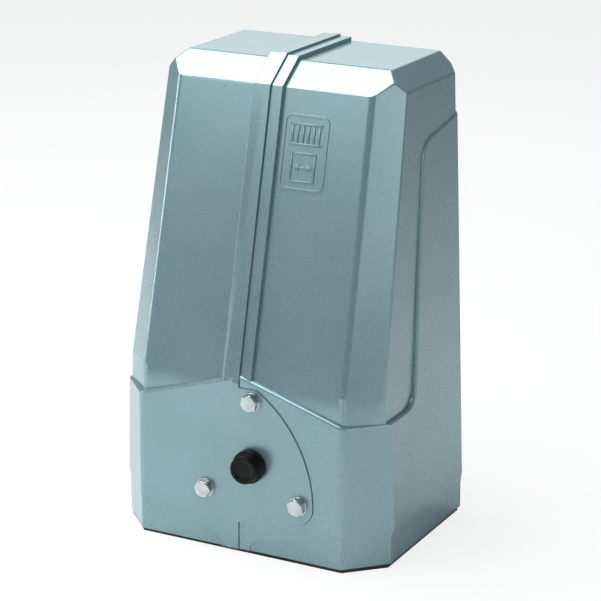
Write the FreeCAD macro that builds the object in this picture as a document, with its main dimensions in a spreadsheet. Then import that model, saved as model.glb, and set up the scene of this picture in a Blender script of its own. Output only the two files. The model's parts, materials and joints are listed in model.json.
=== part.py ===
import FreeCAD, Part
import math
import os

import Sketcher
from FreeCAD import Placement, Rotation, Vector

# Sliding gate motor: a vertical worm-gear drive in a two-part die-cast housing.
#
# The gate motor stands on a base plate. A vertical motor turns a worm, the worm turns a bronze
# wheel on a horizontal output shaft, and a multi-plate clutch between wheel and shaft carries the
# torque to the drive pinion behind the housing. A black knob at the front loosens the clutch.
#
# Frame: millimetres, +X to the right of someone facing the front, +Y towards the gate, +Z up.
# The origin is the centre of the base plate's underside.

doc = FreeCAD.newDocument("sliding_gate_motor")

# ---------------------------------------------------------------- driving dimensions

DRIVING_SIZES = [
    # housing envelope
    ("body_width", 313.8, "housing width at the skirt line, its widest"),
    ("body_depth", 219.0, "housing depth at the base"),
    ("body_height", 500.0, "ground to the top panels"),
    ("wall", 4.5, "casting wall"),
    ("foot_inset", 2.9, "housing's side at the foot, in from the skirt line"),
    ("skirt_height", 46.0, "height of the skirt line at the corners"),
    ("skirt_centre_height", 14.0, "height of the skirt line beside the seam"),
    ("skirt_recess", 1.4, "depth of the recess below the skirt line"),
    ("skirt_slope", 14.0, "height over which the sides draw in below the skirt line"),
    ("side_draft", 0.045, "inward lean of the proud side faces, per unit of height"),
    ("corner_facet", 40.4, "front corner facet across X, in from the skirt line"),
    ("back_corner", 8.0, "chamfer of the two back corners"),
    ("ledge_height", 157.0, "height of the ledge at the corner facets"),
    ("ledge_rise", 30.0, "rise of the ledge from corner to seam band"),
    ("ledge_peak_x", 20.0, "seam to where that rise is measured"),
    ("lean_height", 186.0, "height above which the upper panels lean back"),
    ("panel_recess", 4.5, "depth of the recessed upper panels"),
    ("panel_inset", 9.1, "side of the upper panels at the ledge, in from the skirt line"),
    ("shoulder_height", 478.0, "height where the top bevels begin"),
    ("shoulder_inset", 21.1, "side of the upper panels at the shoulder, in from the skirt line"),
    ("shoulder_front", 39.1, "centre plane to the shoulder's front edge"),
    ("corner_depth", 37.0, "depth of the front corner facets, along Y"),
    ("corner_turn", 0.9, "depth of the upper facets per unit of their width"),
    ("shoulder_corner_lean", 7.5, "how far the upper facets lean in up to the shoulder"),
    ("top_inset", 42.0, "side of the flat top, in from the skirt line"),
    ("top_front", 8.0, "centre plane to the flat top's front edge"),
    ("corner_radius", 12.0, "rounding between front and corner facets"),
    ("ledge_radius", 3.0, "rounding of the ledge's and the wing's outer edge"),
    # seam
    ("band_left", 20.0, "width of the raised seam band on the left shell"),
    ("band_right", 12.5, "width of the raised seam band on the right shell"),
    ("seam_step", 1.5, "how far the left shell stands proud of the right one"),
    ("bead_width", 7.0, "width of the bead along the left shell's seam edge"),
    ("bead_height", 1.0, "height of that bead"),
    ("seam_gap", 0.3, "gap between the two shells"),
    # side wings
    ("wing_foot", 12.0, "wing front edge at the ledge, in front of the centre plane"),
    ("wing_head", 18.0, "wing front edge at its head, behind the centre plane"),
    ("wing_height", 424.0, "height of the wing's upper corner"),
    ("wing_back_height", 441.0, "height of the wing at the back"),
    ("wing_radius", 24.0, "rounding of the wing's corners"),
    # gear lobe on the front
    ("lobe_reach", 85.0, "lobe edge from the seam"),
    ("lobe_radius", 139.5, "radius of the lobe's long arc"),
    ("lobe_arc_height", 63.0, "height of that arc's centre"),
    ("lobe_top", 180.5, "height of the lobe's top edge"),
    ("lobe_bottom", 34.5, "height of the lobe's bottom edge at the seam"),
    ("lobe_bottom_rise", 8.0, "rise of the bottom edge out to the corner"),
    ("lobe_corner", 21.0, "rounding of the lobe's corners"),
    # badge
    ("badge_width", 50.0, "width of the plain cast badge rim"),
    ("badge_length", 74.0, "length of the badge rim up the panel"),
    ("badge_left", 17.0, "seam to the badge's near side"),
    ("badge_top", 24.0, "shoulder to the badge's top, down the panel"),
    ("badge_rim", 2.2, "width of the badge rim"),
    ("badge_rise", 1.0, "height of the badge rim"),
    ("badge_radius", 8.0, "rounding of the badge's corners"),
    # base plate
    ("plate_thickness", 4.0, "thickness of the steel base plate"),
    ("plate_inset", 2.0, "base plate edge inside the housing's foot"),
    ("anchor_span_x", 240.0, "anchor slots, centre to centre across"),
    ("anchor_span_y", 150.0, "anchor slots, centre to centre front to back"),
    ("anchor_slot", 30.0, "length of an anchor slot"),
    ("anchor_width", 13.0, "width of an anchor slot"),
    ("cable_hole_x", 46.0, "cable hole across"),
    ("cable_hole_y", 42.0, "cable hole front to back"),
    ("cable_inset", 35.0, "cable hole centre, in from the foot's right edge"),
    ("cable_y", 16.0, "cable hole centre, to the back"),
    # shaft line and worm line
    ("shaft_x", 15.0, "output shaft to the right of the seam"),
    ("shaft_height", 100.0, "output shaft above the ground"),
    ("shaft_radius", 12.5, "output shaft"),
    ("wheel_y", 22.0, "mid plane of the worm wheel"),
    ("wheel_width", 24.0, "worm wheel face width"),
    ("gear_module", 3.0, "worm gear module"),
    ("wheel_teeth", 30, "worm wheel teeth"),
    ("worm_pitch_radius", 15.0, "worm pitch radius"),
    ("worm_length", 42.0, "threaded length of the worm"),
    ("tooth_play", 0.35, "play on each flank of worm and wheel"),
    ("pinion_module", 4.0, "drive pinion module"),
    ("pinion_teeth", 18, "drive pinion teeth"),
    ("pinion_width", 30.0, "drive pinion face width"),
    ("pinion_gap", 4.0, "drive pinion behind the housing's back"),
    ("running_gap", 0.1, "radial running clearance of shafts"),
    ("seat_gap", 0.3, "clearance of parts that only sit side by side"),
    # front bolts and knob
    ("bolt_rise", 68.0, "upper flange bolt above the shaft"),
    ("bolt_drop", 34.5, "lower flange bolts below the shaft"),
    ("bolt_side", 54.0, "lower flange bolts to each side of the shaft"),
    ("bolt_head_width", 17.0, "flange bolt head across flats"),
    ("bolt_head_height", 6.4, "flange bolt head height"),
    ("bolt_radius", 5.0, "flange bolt shank"),
    ("washer_radius", 10.2, "flange bolt washer"),
    ("washer_thickness", 1.8, "flange bolt washer thickness"),
    ("knob_radius", 17.5, "knob collar"),
    ("knob_nose_radius", 14.6, "knob nose"),
    ("knob_collar", 9.0, "thickness of the knob collar"),
    ("knob_length", 19.0, "knob from the housing face to its end"),
    ("spindle_radius", 4.5, "knob spindle"),
    ("release_travel", 3.0, "travel of the spring seat when the clutch is released"),
    ("pin_radius", 2.5, "cross pins of the spring seat"),
    ("key_width", 8.0, "pinion key"),
    # gear case
    ("case_hub_radius", 26.0, "rear hub of the gear case"),
    ("case_radius", 60.0, "gear case barrel"),
    ("case_flange_radius", 74.0, "front flange of the gear case"),
    ("case_flange", 10.0, "thickness of that flange"),
    ("case_front", 62.0, "case joint face in front of the centre"),
    ("case_back", 46.0, "outside of the case's rear wall behind the centre"),
    ("case_room", 5.0, "room around the worm wheel"),
    ("cover_thickness", 12.0, "gear case cover"),
    ("cover_hub", 24.0, "hub of the gear case cover"),
    ("cover_boss", 10.0, "cover boss behind a flange bolt"),
    ("tower_radius", 31.0, "worm tower"),
    ("tower_top", 178.0, "seat of the motor on the worm tower"),
    ("tower_foot", 44.0, "underside of the worm tower"),
    ("tower_flange_radius", 56.0, "flange under the motor"),
    ("case_foot_left", 78.0, "gear case foot to the left of the seam"),
    ("case_gap", 2.0, "gear case foot to the board bracket's foot"),
    ("case_foot_front", 45.0, "gear case foot in front of the centre"),
    ("case_foot_back", 75.0, "gear case foot behind the centre"),
    ("case_foot", 10.0, "thickness of the gear case foot"),
    ("case_bolt_radius", 4.0, "gear case bolts"),
    ("case_bolt_inset", 9.0, "gear case bolts in from the foot's edges"),
    ("case_screw_radius", 3.0, "cover screws"),
    ("case_screw_circle", 67.0, "radius of the cover screws' circle"),
    ("bush_radius", 16.0, "outside of the shaft bushes"),
    ("bearing_radius", 20.0, "outside of the worm and motor bearings"),
    ("bearing_width", 12.0, "width of those bearings"),
    ("seal_radius", 19.0, "outside of the shaft seal"),
    ("plug_radius", 6.0, "oil plug thread"),
    ("clutch_radius", 40.0, "clutch drum"),
    ("drum_wall", 3.0, "clutch drum wall"),
    ("plate_pitch", 5.0, "pitch of the clutch plates"),
    ("clutch_plate_count", 4, "outer clutch plates"),
    # motor
    ("motor_radius", 60.0, "motor over its fins"),
    ("motor_foot", 190.0, "height of the motor's lower face"),
    ("motor_length", 165.0, "length of the finned motor housing"),
    ("motor_fins", 28, "cooling fins"),
    ("rotor_radius", 30.0, "rotor"),
    ("air_gap", 0.5, "rotor to stator"),
    ("motor_shaft_radius", 8.5, "worm and motor shaft"),
    ("cowl_length", 46.0, "fan cowl"),
    # electrics
    ("bracket_gap", 3.0, "board bracket to the cable grommet's rim"),
    ("bracket_foot", 16.0, "width of the bracket's foot"),
    ("grommet_rim", 3.0, "rim of the cable grommet"),
    ("bracket_height", 425.0, "top of the board bracket"),
    ("bracket_depth", 118.0, "board bracket front to back"),
    ("sheet_thickness", 2.0, "board bracket sheet"),
    ("capacitor_radius", 18.0, "motor capacitor"),
    ("capacitor_foot", 215.0, "height of the capacitor's foot"),
    ("capacitor_length", 95.0, "length of the capacitor"),
    ("capacitor_y", 48.0, "capacitor behind the centre plane"),
    ("clip_height", 35.0, "capacitor clip above the capacitor's foot"),
    ("clip_width", 16.0, "width of the capacitor clip"),
    ("core_foot", 132.0, "height of the transformer's foot"),
    ("core_height", 48.0, "height of the transformer core"),
    ("core_depth", 56.0, "transformer core front to back"),
    ("core_thickness", 30.0, "thickness of the transformer core"),
    ("core_leg", 9.0, "width of the core's legs"),
    ("board_length", 160.0, "control board height"),
    ("board_width", 100.0, "control board front to back"),
    ("board_standoff", 6.0, "board in front of its bracket"),
    # fixings of the housing
    ("foot_screw_inset", 22.0, "foot screws in from the foot's side edges"),
    ("foot_screw_y", 52.0, "foot screws in front of and behind the centre"),
    ("foot_screw_radius", 3.0, "foot screw"),
    ("foot_screw_length", 16.0, "foot screw above the base plate"),
    ("boss_radius", 8.0, "foot boss"),
    ("boss_height", 22.0, "height of the foot bosses"),
    ("seam_screw_low", 300.0, "height of the lower seam screw"),
    ("seam_screw_high", 455.0, "height of the upper seam screw"),
    ("seam_screw_radius", 3.0, "seam screw"),
    ("lug_width", 12.0, "seam lug, out from the seam"),
    ("lug_depth", 16.0, "seam lug, in from the back wall"),
    ("knob_hole_radius", 9.0, "hole for the knob's hub"),
    ("lever_x", 30.0, "limit switch lever to the right of the seam"),
    ("lever_shaft_radius", 4.0, "shaft of the limit switch lever"),
    ("lever_bush_radius", 9.0, "bush of the limit switch lever"),
    ("lever_height", 176.0, "limit switch lever above the ground"),
    ("lever_length", 44.0, "limit switch lever beyond the housing's back"),
]


class Size:
    """A number together with the spreadsheet formula that gives it."""

    def __init__(self, value, formula):
        self.value = value
        self.formula = formula

    def _join(self, sign, other, value):
        return Size(value, f"({self.formula} {sign} {text(other)})")

    def __add__(self, other):
        return self._join("+", other, self.value + number(other))

    def __sub__(self, other):
        return self._join("-", other, self.value - number(other))

    def __mul__(self, other):
        return self._join("*", other, self.value * number(other))

    def __truediv__(self, other):
        return self._join("/", other, self.value / number(other))

    def __radd__(self, other):
        return Size(other + self.value, f"({other} + {self.formula})")

    def __rsub__(self, other):
        return Size(other - self.value, f"({other} - {self.formula})")

    def __rmul__(self, other):
        return Size(other * self.value, f"({other} * {self.formula})")

    def __neg__(self):
        return Size(-self.value, f"(-{self.formula})")


def number(size):
    """The plain number of a size."""
    return size.value if isinstance(size, Size) else size


def text(size):
    """The formula of a size."""
    return size.formula if isinstance(size, Size) else repr(size)


class Table:
    """The driving sizes by name."""


def make_sheet(rows):
    """Write the driving sizes into a spreadsheet and hand them back by name."""
    sheet = doc.addObject("Spreadsheet::Sheet", "Sizes")
    table = Table()
    for row, (alias, value, meaning) in enumerate(rows, start=1):
        sheet.set(f"A{row}", meaning)
        sheet.set(f"B{row}", str(value))
        sheet.setAlias(f"B{row}", alias)
        setattr(table, alias, Size(value, f"Sizes.{alias}"))
    doc.recompute()
    return table


mm = make_sheet(DRIVING_SIZES)

# ---------------------------------------------------------------- drawing helpers

TURN_TO_PLANE = {
    "XY": Rotation(),
    "XZ": Rotation(Vector(1, 0, 0), 90),
    "YZ": Rotation(Vector(1, 1, 1), 120),
}
AXES = {"X": Vector(1, 0, 0), "Y": Vector(0, 1, 0), "Z": Vector(0, 0, 1)}
TURN_FROM_Z = {
    "X": Rotation(Vector(0, 1, 0), 90),
    "Y": Rotation(Vector(1, 0, 0), -90),
    "Z": Rotation(),
}
PLANE_ROLE = {"XY": "XY_Plane", "XZ": "XZ_Plane", "YZ": "YZ_Plane"}


def bind(thing, prop, size):
    """Set a property from a size, so that it follows the spreadsheet."""
    if isinstance(size, Size):
        thing.setExpression(prop, size.formula)
    elif size:
        thing.setExpression(prop, repr(size))


def place(thing, x=0, y=0, z=0):
    """Bind where an object stands."""
    bind(thing, "Placement.Base.x", x)
    bind(thing, "Placement.Base.y", y)
    bind(thing, "Placement.Base.z", z)


def constrain(sketch, geometry, point, x, y):
    """Fix one point of a sketch by its two distances from the sketch's origin."""
    for kind, size in (("DistanceX", x), ("DistanceY", y)):
        rule = sketch.addConstraint(Sketcher.Constraint(kind, -1, 1, geometry, point, float(number(size))))
        if isinstance(size, Size):
            sketch.setExpression(f"Constraints[{rule}]", size.formula)


def draw_polygon(sketch, corners):
    """Draw a closed polygon through corners given as pairs of sizes."""
    spots = [Vector(number(x), number(y), 0) for x, y in corners]
    first = sketch.GeometryCount
    count = len(corners)
    for i in range(count):
        sketch.addGeometry(Part.LineSegment(spots[i], spots[(i + 1) % count]), False)
    for i in range(count):
        follower = first + (i + 1) % count
        sketch.addConstraint(Sketcher.Constraint("Coincident", first + i, 2, follower, 1))
    for i, (x, y) in enumerate(corners):
        constrain(sketch, first + i, 1, x, y)


def draw_circle(sketch, x, y, radius):
    """Draw a circle in a sketch."""
    centre = Vector(number(x), number(y), 0)
    circle = sketch.addGeometry(Part.Circle(centre, Vector(0, 0, 1), number(radius)), False)
    constrain(sketch, circle, 3, x, y)
    rule = sketch.addConstraint(Sketcher.Constraint("Radius", circle, float(number(radius))))
    if isinstance(radius, Size):
        sketch.setExpression(f"Constraints[{rule}]", radius.formula)


def outline(name, plane, corners, x=0, y=0, z=0):
    """A polygon sketch on a plane parallel to two world axes, through the point x, y, z."""
    sketch = doc.addObject("Sketcher::SketchObject", name)
    sketch.Placement = Placement(Vector(), TURN_TO_PLANE[plane])
    draw_polygon(sketch, corners)
    place(sketch, x, y, z)
    return sketch


def extrude(name, sketch, x=0, y=0, z=0):
    """Push a sketch along the vector x, y, z."""
    solid = doc.addObject("Part::Extrusion", name)
    solid.Base = sketch
    solid.DirMode = "Custom"
    solid.Dir = Vector(number(x), number(y), number(z))
    bind(solid, "Dir.x", x)
    bind(solid, "Dir.y", y)
    bind(solid, "Dir.z", z)
    solid.Solid = True
    return solid


def box(name, x, y, z):
    """A box between the pairs of sizes x, y and z."""
    solid = doc.addObject("Part::Box", name)
    for prop, (low, high) in (("Length", x), ("Width", y), ("Height", z)):
        bind(solid, prop, high - low)
    place(solid, x[0], y[0], z[0])
    return solid


def cylinder(name, axis, radius, start, end, x=0, y=0, z=0):
    """A cylinder along a world axis from start to end, through the point x, y, z."""
    solid = doc.addObject("Part::Cylinder", name)
    bind(solid, "Radius", radius)
    bind(solid, "Height", end - start)
    solid.Placement = Placement(Vector(), TURN_FROM_Z[axis])
    spot = {"X": x, "Y": y, "Z": z}
    spot[axis] = start
    place(solid, spot["X"], spot["Y"], spot["Z"])
    return solid


def cone(name, foot_radius, top_radius, start, end, x, y):
    """A cone that stands up from start to end at x, y."""
    solid = doc.addObject("Part::Cone", name)
    bind(solid, "Radius1", foot_radius)
    bind(solid, "Radius2", top_radius)
    bind(solid, "Height", end - start)
    place(solid, x, y, start)
    return solid


def join(kind, name, solids):
    """Fuse or intersect several solids."""
    result = doc.addObject(kind, name)
    result.Shapes = solids
    result.Refine = True
    return result


def fuse(name, *solids):
    """One solid out of several that touch."""
    return join("Part::MultiFuse", name, list(solids))


def common(name, *solids):
    """What several solids share."""
    return join("Part::MultiCommon", name, list(solids))


def cut(name, base, *tools):
    """A solid with one or more tools taken away."""
    result = doc.addObject("Part::Cut", name)
    result.Base = base
    result.Tool = tools[0] if len(tools) == 1 else group(f"{name}_tools", tools)
    result.Refine = True
    return result


def group(name, solids):
    """Several separate solids in one object."""
    result = doc.addObject("Part::Compound", name)
    result.Links = list(solids)
    return result


def rounded(name, base, radius, wanted):
    """Round the edges of a solid for which wanted(edge) is true."""
    doc.recompute()
    result = doc.addObject("Part::Fillet", name)
    result.Base = base
    r = number(radius)
    result.Edges = [(i, r, r) for i, edge in enumerate(base.Shape.Edges, start=1) if wanted(edge)]
    return result


def middle(edge):
    """The middle of an edge."""
    return edge.valueAt((edge.FirstParameter + edge.LastParameter) / 2)


def origin_feature(body, role):
    """An origin plane or axis of a body."""
    return next(f for f in body.Origin.OriginFeatures if f.Role == role)


def new_body(name, x=0, y=0, z=0):
    """An empty PartDesign body that stands at x, y, z."""
    body = doc.addObject("PartDesign::Body", name)
    body.Label = name
    place(body, x, y, z)
    return body


def body_sketch(body, name, plane, offset=0):
    """A sketch on one of the body's own planes, moved along the plane's normal."""
    sketch = body.newObject("Sketcher::SketchObject", name)
    sketch.AttachmentSupport = [(origin_feature(body, PLANE_ROLE[plane]), "")]
    sketch.MapMode = "FlatFace"
    bind(sketch, "AttachmentOffset.Base.z", offset)
    return sketch


def revolve(body, name, sketch, kind="Revolution"):
    """Turn a sketch of a body round the sketch's vertical axis."""
    feature = body.newObject(f"PartDesign::{kind}", name)
    feature.Profile = sketch
    feature.ReferenceAxis = (sketch, ["V_Axis"])
    feature.Angle = 360
    return feature


def turned(name, axis, profile, x=0, y=0, z=0):
    """A turned piece: profile holds corners as radius and place along a Y or Z axis."""
    body = new_body(name, x, y, z)
    sketch = body_sketch(body, f"{name}_profile", "XY" if axis == "Y" else "XZ")
    draw_polygon(sketch, profile)
    revolve(body, f"{name}_turn", sketch)
    return body


def ring(name, axis, inner, outer, start, end, x=0, y=0, z=0):
    """A turned ring of rectangular section."""
    profile = [(inner, start), (outer, start), (outer, end), (inner, end)]
    return turned(name, axis, profile, x, y, z)


def pad(body, name, sketch, length, backwards=False):
    """Raise a sketch of a body along its normal."""
    feature = body.newObject("PartDesign::Pad", name)
    feature.Profile = sketch
    feature.Reversed = backwards
    bind(feature, "Length", length)
    return feature


def polar(body, name, feature, axis_role, count):
    """Repeat a feature of a body round one of its axes."""
    pattern = body.newObject("PartDesign::PolarPattern", name)
    pattern.Originals = [feature]
    pattern.Axis = (origin_feature(body, axis_role), [""])
    pattern.Angle = 360
    bind(pattern, "Occurrences", count)
    body.Tip = pattern
    return pattern


HEX_CORNER = 1 / math.sqrt(3)  # corner radius of a hexagon one unit across flats


def hexagon(across_flats):
    """The corners of a hexagon as pairs of sizes."""
    corners = []
    for i in range(6):
        angle = math.radians(60 * i)
        corner = across_flats * HEX_CORNER
        corners.append((corner * round(math.cos(angle), 6), corner * round(math.sin(angle), 6)))
    return corners


def hex_bolt(name, width, head, radius, shank, x, y, z):
    """A hexagon bolt along +Y whose head's underside is at y."""
    body = new_body(name, x, y, z)
    head_sketch = body_sketch(body, f"{name}_hexagon", "XZ")
    draw_polygon(head_sketch, hexagon(width))
    pad(body, f"{name}_head", head_sketch, head)
    crown = body_sketch(body, f"{name}_crown", "XY")
    corner = width * HEX_CORNER
    flat = width * 0.47
    draw_polygon(
        crown,
        [(flat, -head), (corner + 1, -head), (corner + 1, (flat - corner) * 0.6 - head * 0.7)],
    )
    revolve(body, f"{name}_crown_cut", crown, kind="Groove")
    shank_sketch = body_sketch(body, f"{name}_round", "XZ")
    draw_circle(shank_sketch, 0, 0, radius)
    pad(body, f"{name}_shank", shank_sketch, shank, backwards=True)
    return body


# ---------------------------------------------------------------- derived sizes

LEFT = -1
RIGHT = 1
half_depth = mm.body_depth / 2
foot = mm.plate_thickness
half_gap = mm.seam_gap / 2
front_face = {RIGHT: -half_depth, LEFT: -half_depth - mm.seam_step}
panel_face = -half_depth + mm.panel_recess
skirt_half = mm.body_width / 2
foot_half = skirt_half - mm.foot_inset
panel_half = skirt_half - mm.panel_inset
shoulder_half = skirt_half - mm.shoulder_inset
top_half = skirt_half - mm.top_inset
corner_x = skirt_half - mm.corner_facet
panel_draft = (panel_half - shoulder_half) / (mm.shoulder_height - mm.ledge_height)
lean_rise = mm.shoulder_height - mm.lean_height
lean_back = -panel_face - mm.shoulder_front
ledge_half = skirt_half - (mm.ledge_height - mm.skirt_height) * mm.side_draft
wing_back_half = skirt_half - (mm.wing_back_height - mm.skirt_height) * mm.side_draft
band_foot = mm.ledge_height + mm.ledge_rise / 2
chevron_slope = mm.ledge_rise / (corner_x - mm.ledge_peak_x)
far = mm.body_width  # well outside the housing
worm_x = mm.shaft_x - mm.gear_module * mm.wheel_teeth / 2 - mm.worm_pitch_radius
lobe_back = front_face[LEFT] + mm.wall
back_inside = half_depth - mm.wall


def on_side(side, corners):
    """Mirror corners whose first size is an X to one side of the seam."""
    if side == RIGHT:
        return corners
    return [(-x, z) for x, z in corners]


# ---------------------------------------------------------------- housing halves


def side_slab(name, side, corners):
    """Push a YZ outline from the seam out past one side of the housing."""
    sketch = outline(f"{name}_outline", "YZ", corners, x=half_gap * side)
    return extrude(name, sketch, x=far * side)


def front_slab(name, side, corners):
    """Push an XZ outline through the whole depth of one housing half."""
    sketch = outline(f"{name}_outline", "XZ", on_side(side, corners), y=-far)
    return extrude(name, sketch, y=far * 2)


def panel_body(name, side, inset, bottom):
    """The upper half body: leaning front, drawn-in side, bevelled top and leaning corner facet."""
    top = mm.body_height - inset
    half_at_bottom = panel_half - inset + (mm.ledge_height - bottom) * panel_draft
    front = panel_face + inset
    shoulder_y = -mm.shoulder_front + inset
    shoulder = mm.shoulder_height - inset * 0.5
    from_front = front_slab(
        f"{name}_sides",
        side,
        [
            (half_gap, bottom),
            (half_at_bottom, bottom),
            (shoulder_half - inset, shoulder + 2.4),
            (top_half - inset * 0.5, top),
            (half_gap, top),
        ],
    )
    from_side = side_slab(
        f"{name}_front",
        side,
        [
            (front, bottom),
            (half_depth - inset, bottom),
            (half_depth - inset, top),
            (-mm.top_front + inset * 0.4, top),
            (shoulder_y, shoulder),
            (front, mm.lean_height),
        ],
    )
    # the corner facet: one plane line, pushed straight down and leaning back upwards
    near_x = corner_x - 2 - inset * 0.4
    near_y = front
    spread = 60
    line = [
        (near_x - spread, near_y - mm.corner_turn * spread),
        (near_x + spread, near_y + mm.corner_turn * spread),
        (near_x + spread, near_y - spread * 2),
    ]
    facet = outline(f"{name}_facet_line", "XY", on_side(side, line), z=mm.lean_height)
    below = extrude(f"{name}_facet_foot", facet, z=bottom - 1 - mm.lean_height)
    lean_x = (2 - mm.shoulder_corner_lean) * 1.2 * side
    above = extrude(f"{name}_facet", facet, x=lean_x, y=lean_back * 1.2, z=lean_rise * 1.2)
    rear = back_corner(f"{name}_rear", side, half_at_bottom, panel_draft, inset, bottom)
    raw = common(f"{name}_raw", from_front, from_side)
    return cut(name, raw, below, above, rear)


def back_corner(name, side, half, draft, inset, bottom):
    """A wedge that bevels the back corner and leans inwards with the side."""
    back = half_depth - inset
    chamfer = mm.back_corner
    corners = [
        (half - chamfer * 2, back + chamfer),
        (half + chamfer, back - chamfer * 2),
        (half + chamfer, back + chamfer),
    ]
    sketch = outline(f"{name}_line", "XY", on_side(side, corners), z=bottom)
    height = mm.body_height
    return extrude(name, sketch, x=height * draft * -side, z=height)


def plan_prism(name, side, front, inset, bottom, top):
    """Push the footprint of one half, with its front corner facet, from bottom to top."""
    facet_x = corner_x - inset * 0.4
    reach = skirt_half + mm.wall * 4
    corners = [
        (half_gap, front),
        (facet_x, front),
        (reach, front + (reach - facet_x) * mm.corner_depth / (ledge_half - corner_x)),
        (reach, half_depth - inset),
        (half_gap, half_depth - inset),
    ]
    sketch = outline(f"{name}_plan", "XY", on_side(side, corners), z=bottom)
    return extrude(name, sketch, z=top - bottom)


def wing_edge(name, side):
    """The proud rear part of the side: its outline seen from the side, with round corners."""
    middle_height = (mm.ledge_height + mm.wing_height) / 2
    slab = side_slab(
        f"{name}_slab",
        side,
        [
            (-half_depth - 20, mm.skirt_height + 20),
            (half_depth + 20, mm.skirt_height + 20),
            (half_depth + 20, mm.wing_back_height + 3),
            (mm.wing_head, mm.wing_height),
            ((mm.wing_head - mm.wing_foot) / 2 - 1, middle_height),
            (-mm.wing_foot, mm.ledge_height),
            (-half_depth - 20, mm.ledge_height),
        ],
    )
    corners = (number(mm.ledge_height), number(mm.wing_height))

    def at_corner(edge):
        spot = middle(edge)
        along_x = abs(edge.Length - number(far)) < 1
        return along_x and any(abs(spot.z - z) < 0.5 for z in corners) and -40 < spot.y < 40

    return rounded(name, slab, mm.wing_radius, at_corner)


def lobe_plate(name, grow, front, back):
    """The D-shaped gear lobe, grown all round by a gap."""
    reach = mm.lobe_reach + grow
    low = mm.lobe_bottom - grow
    high = mm.lobe_top + grow
    rise = mm.lobe_bottom_rise / 60
    blank = outline(
        f"{name}_outline",
        "XZ",
        [
            (-mm.band_left, low - rise * mm.band_left),
            (reach, low + rise * reach),
            (reach, high),
            (-mm.band_left, high),
        ],
        y=front,
    )
    slab = extrude(f"{name}_slab", blank, y=back - front)
    arc = cylinder(
        f"{name}_arc",
        "Y",
        mm.lobe_radius + grow,
        front - 1,
        back + 1,
        x=mm.lobe_reach - mm.lobe_radius,
        z=mm.lobe_arc_height,
    )
    plate = common(f"{name}_plate", slab, arc)

    def lower_corner(edge):
        spot = middle(edge)
        return abs(edge.Length - number(back - front)) < 0.1 and spot.x > 70

    def upper_corner(edge):
        spot = middle(edge)
        return abs(edge.Length - number(back - front)) < 0.1 and spot.x > 0 and spot.z > 150

    bottom = rounded(f"{name}_foot", plate, mm.lobe_corner + grow, lower_corner)
    return rounded(name, bottom, mm.lobe_corner / 2 + grow, upper_corner)


def proud_body(name, side):
    """The proud lower body with its chevron ledge and, above the ledge, the side wing."""
    half_foot = foot_half
    prism = plan_prism(f"{name}_prism", side, front_face[side], 0, foot, mm.body_height)
    chevron = front_slab(
        f"{name}_chevron",
        side,
        [
            (half_gap, foot - 1),
            (half_foot, foot - 1),
            (half_foot, mm.skirt_height - mm.skirt_slope),
            (skirt_half, mm.skirt_height),
            (ledge_half, mm.ledge_height),
            (corner_x, mm.ledge_height),
            (half_gap, mm.ledge_height + chevron_slope * (corner_x - half_gap)),
        ],
    )
    side_faces = front_slab(
        f"{name}_wing_face",
        side,
        [
            (corner_x, mm.skirt_height),
            (skirt_half, mm.skirt_height),
            (wing_back_half, mm.wing_back_height),
            (corner_x, mm.wing_back_height),
        ],
    )
    wing = common(f"{name}_wing", side_faces, wing_edge(f"{name}_wing_edge", side))
    form = fuse(f"{name}_form", chevron, wing)
    half_at_foot = skirt_half + (mm.skirt_height - foot) * mm.side_draft
    rear = back_corner(f"{name}_rear", side, half_at_foot, mm.side_draft, 0, foot)
    return cut(name, common(f"{name}_raw", prism, form), rear)


def is_corner(edge, side):
    """True for the steep edge between the front and the corner facet."""
    spot = middle(edge)
    start = edge.valueAt(edge.FirstParameter)
    end = edge.valueAt(edge.LastParameter)
    steep = abs(start.z - end.z) > 0.9 * edge.Length
    near = number(corner_x) - number(mm.corner_radius) - 5
    return steep and near < spot.x * side < number(corner_x) + 2 and spot.y < -20


def is_ledge(edge, side):
    """True for the outer edge of the ledge and of the wing that rises from it."""
    spot = middle(edge)
    out = spot.x * side
    ledge = number(mm.ledge_height)
    if spot.z < ledge - 0.5:
        return False
    if abs(spot.y - number(front_face[side])) < 0.05:
        return edge.Length > 50
    if spot.z < ledge + 0.5:
        turn = number(mm.corner_depth) / (number(ledge_half) - number(corner_x))
        facet_y = number(front_face[side]) + (out - number(corner_x)) * turn
        return out > number(ledge_half) - 0.5 or (spot.y < facet_y + 2 and out > number(corner_x) - 10)
    side_x = number(skirt_half) - (spot.z - number(mm.skirt_height)) * number(mm.side_draft)
    return out > side_x - 0.1 and spot.y < number(half_depth) - number(mm.back_corner) * 2


def band(name, side, width, height, bottom):
    """The raised seam band of one half: up the front, over the bevel and along the top."""
    front = -half_depth + mm.panel_recess - height
    top = mm.body_height + height * 0.9
    corners = [
        (front, bottom),
        (0, bottom),
        (0, mm.shoulder_height),
        (half_depth, mm.shoulder_height),
        (half_depth, top),
        (-mm.top_front - height * 0.35, top),
        (-mm.shoulder_front - height, mm.shoulder_height + height * 0.35),
        (front, mm.lean_height - 1),
    ]
    sketch = outline(f"{name}_outline", "YZ", corners, x=half_gap * side)
    return extrude(name, sketch, x=width * side - half_gap * side)


def skirt(name, side):
    """What the shallow recess below the skirt line takes away."""
    start = mm.band_left if side == LEFT else mm.band_right
    slope = (mm.skirt_height - 7 - mm.skirt_centre_height) / (corner_x - start)
    rise = mm.skirt_centre_height + slope * (far / 2 - start)
    region = front_slab(
        f"{name}_region",
        side,
        [
            (start, foot - 1),
            (far / 2, foot - 1),
            (far / 2, rise),
            (start + 6, mm.skirt_centre_height + slope * 6),
            (start, mm.skirt_centre_height - 5),
        ],
    )
    core_front = front_face[side] + mm.skirt_recess
    core = plan_prism(f"{name}_core", side, core_front, 0, foot - 2, mm.body_height / 3)
    return cut(name, region, core)


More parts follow.
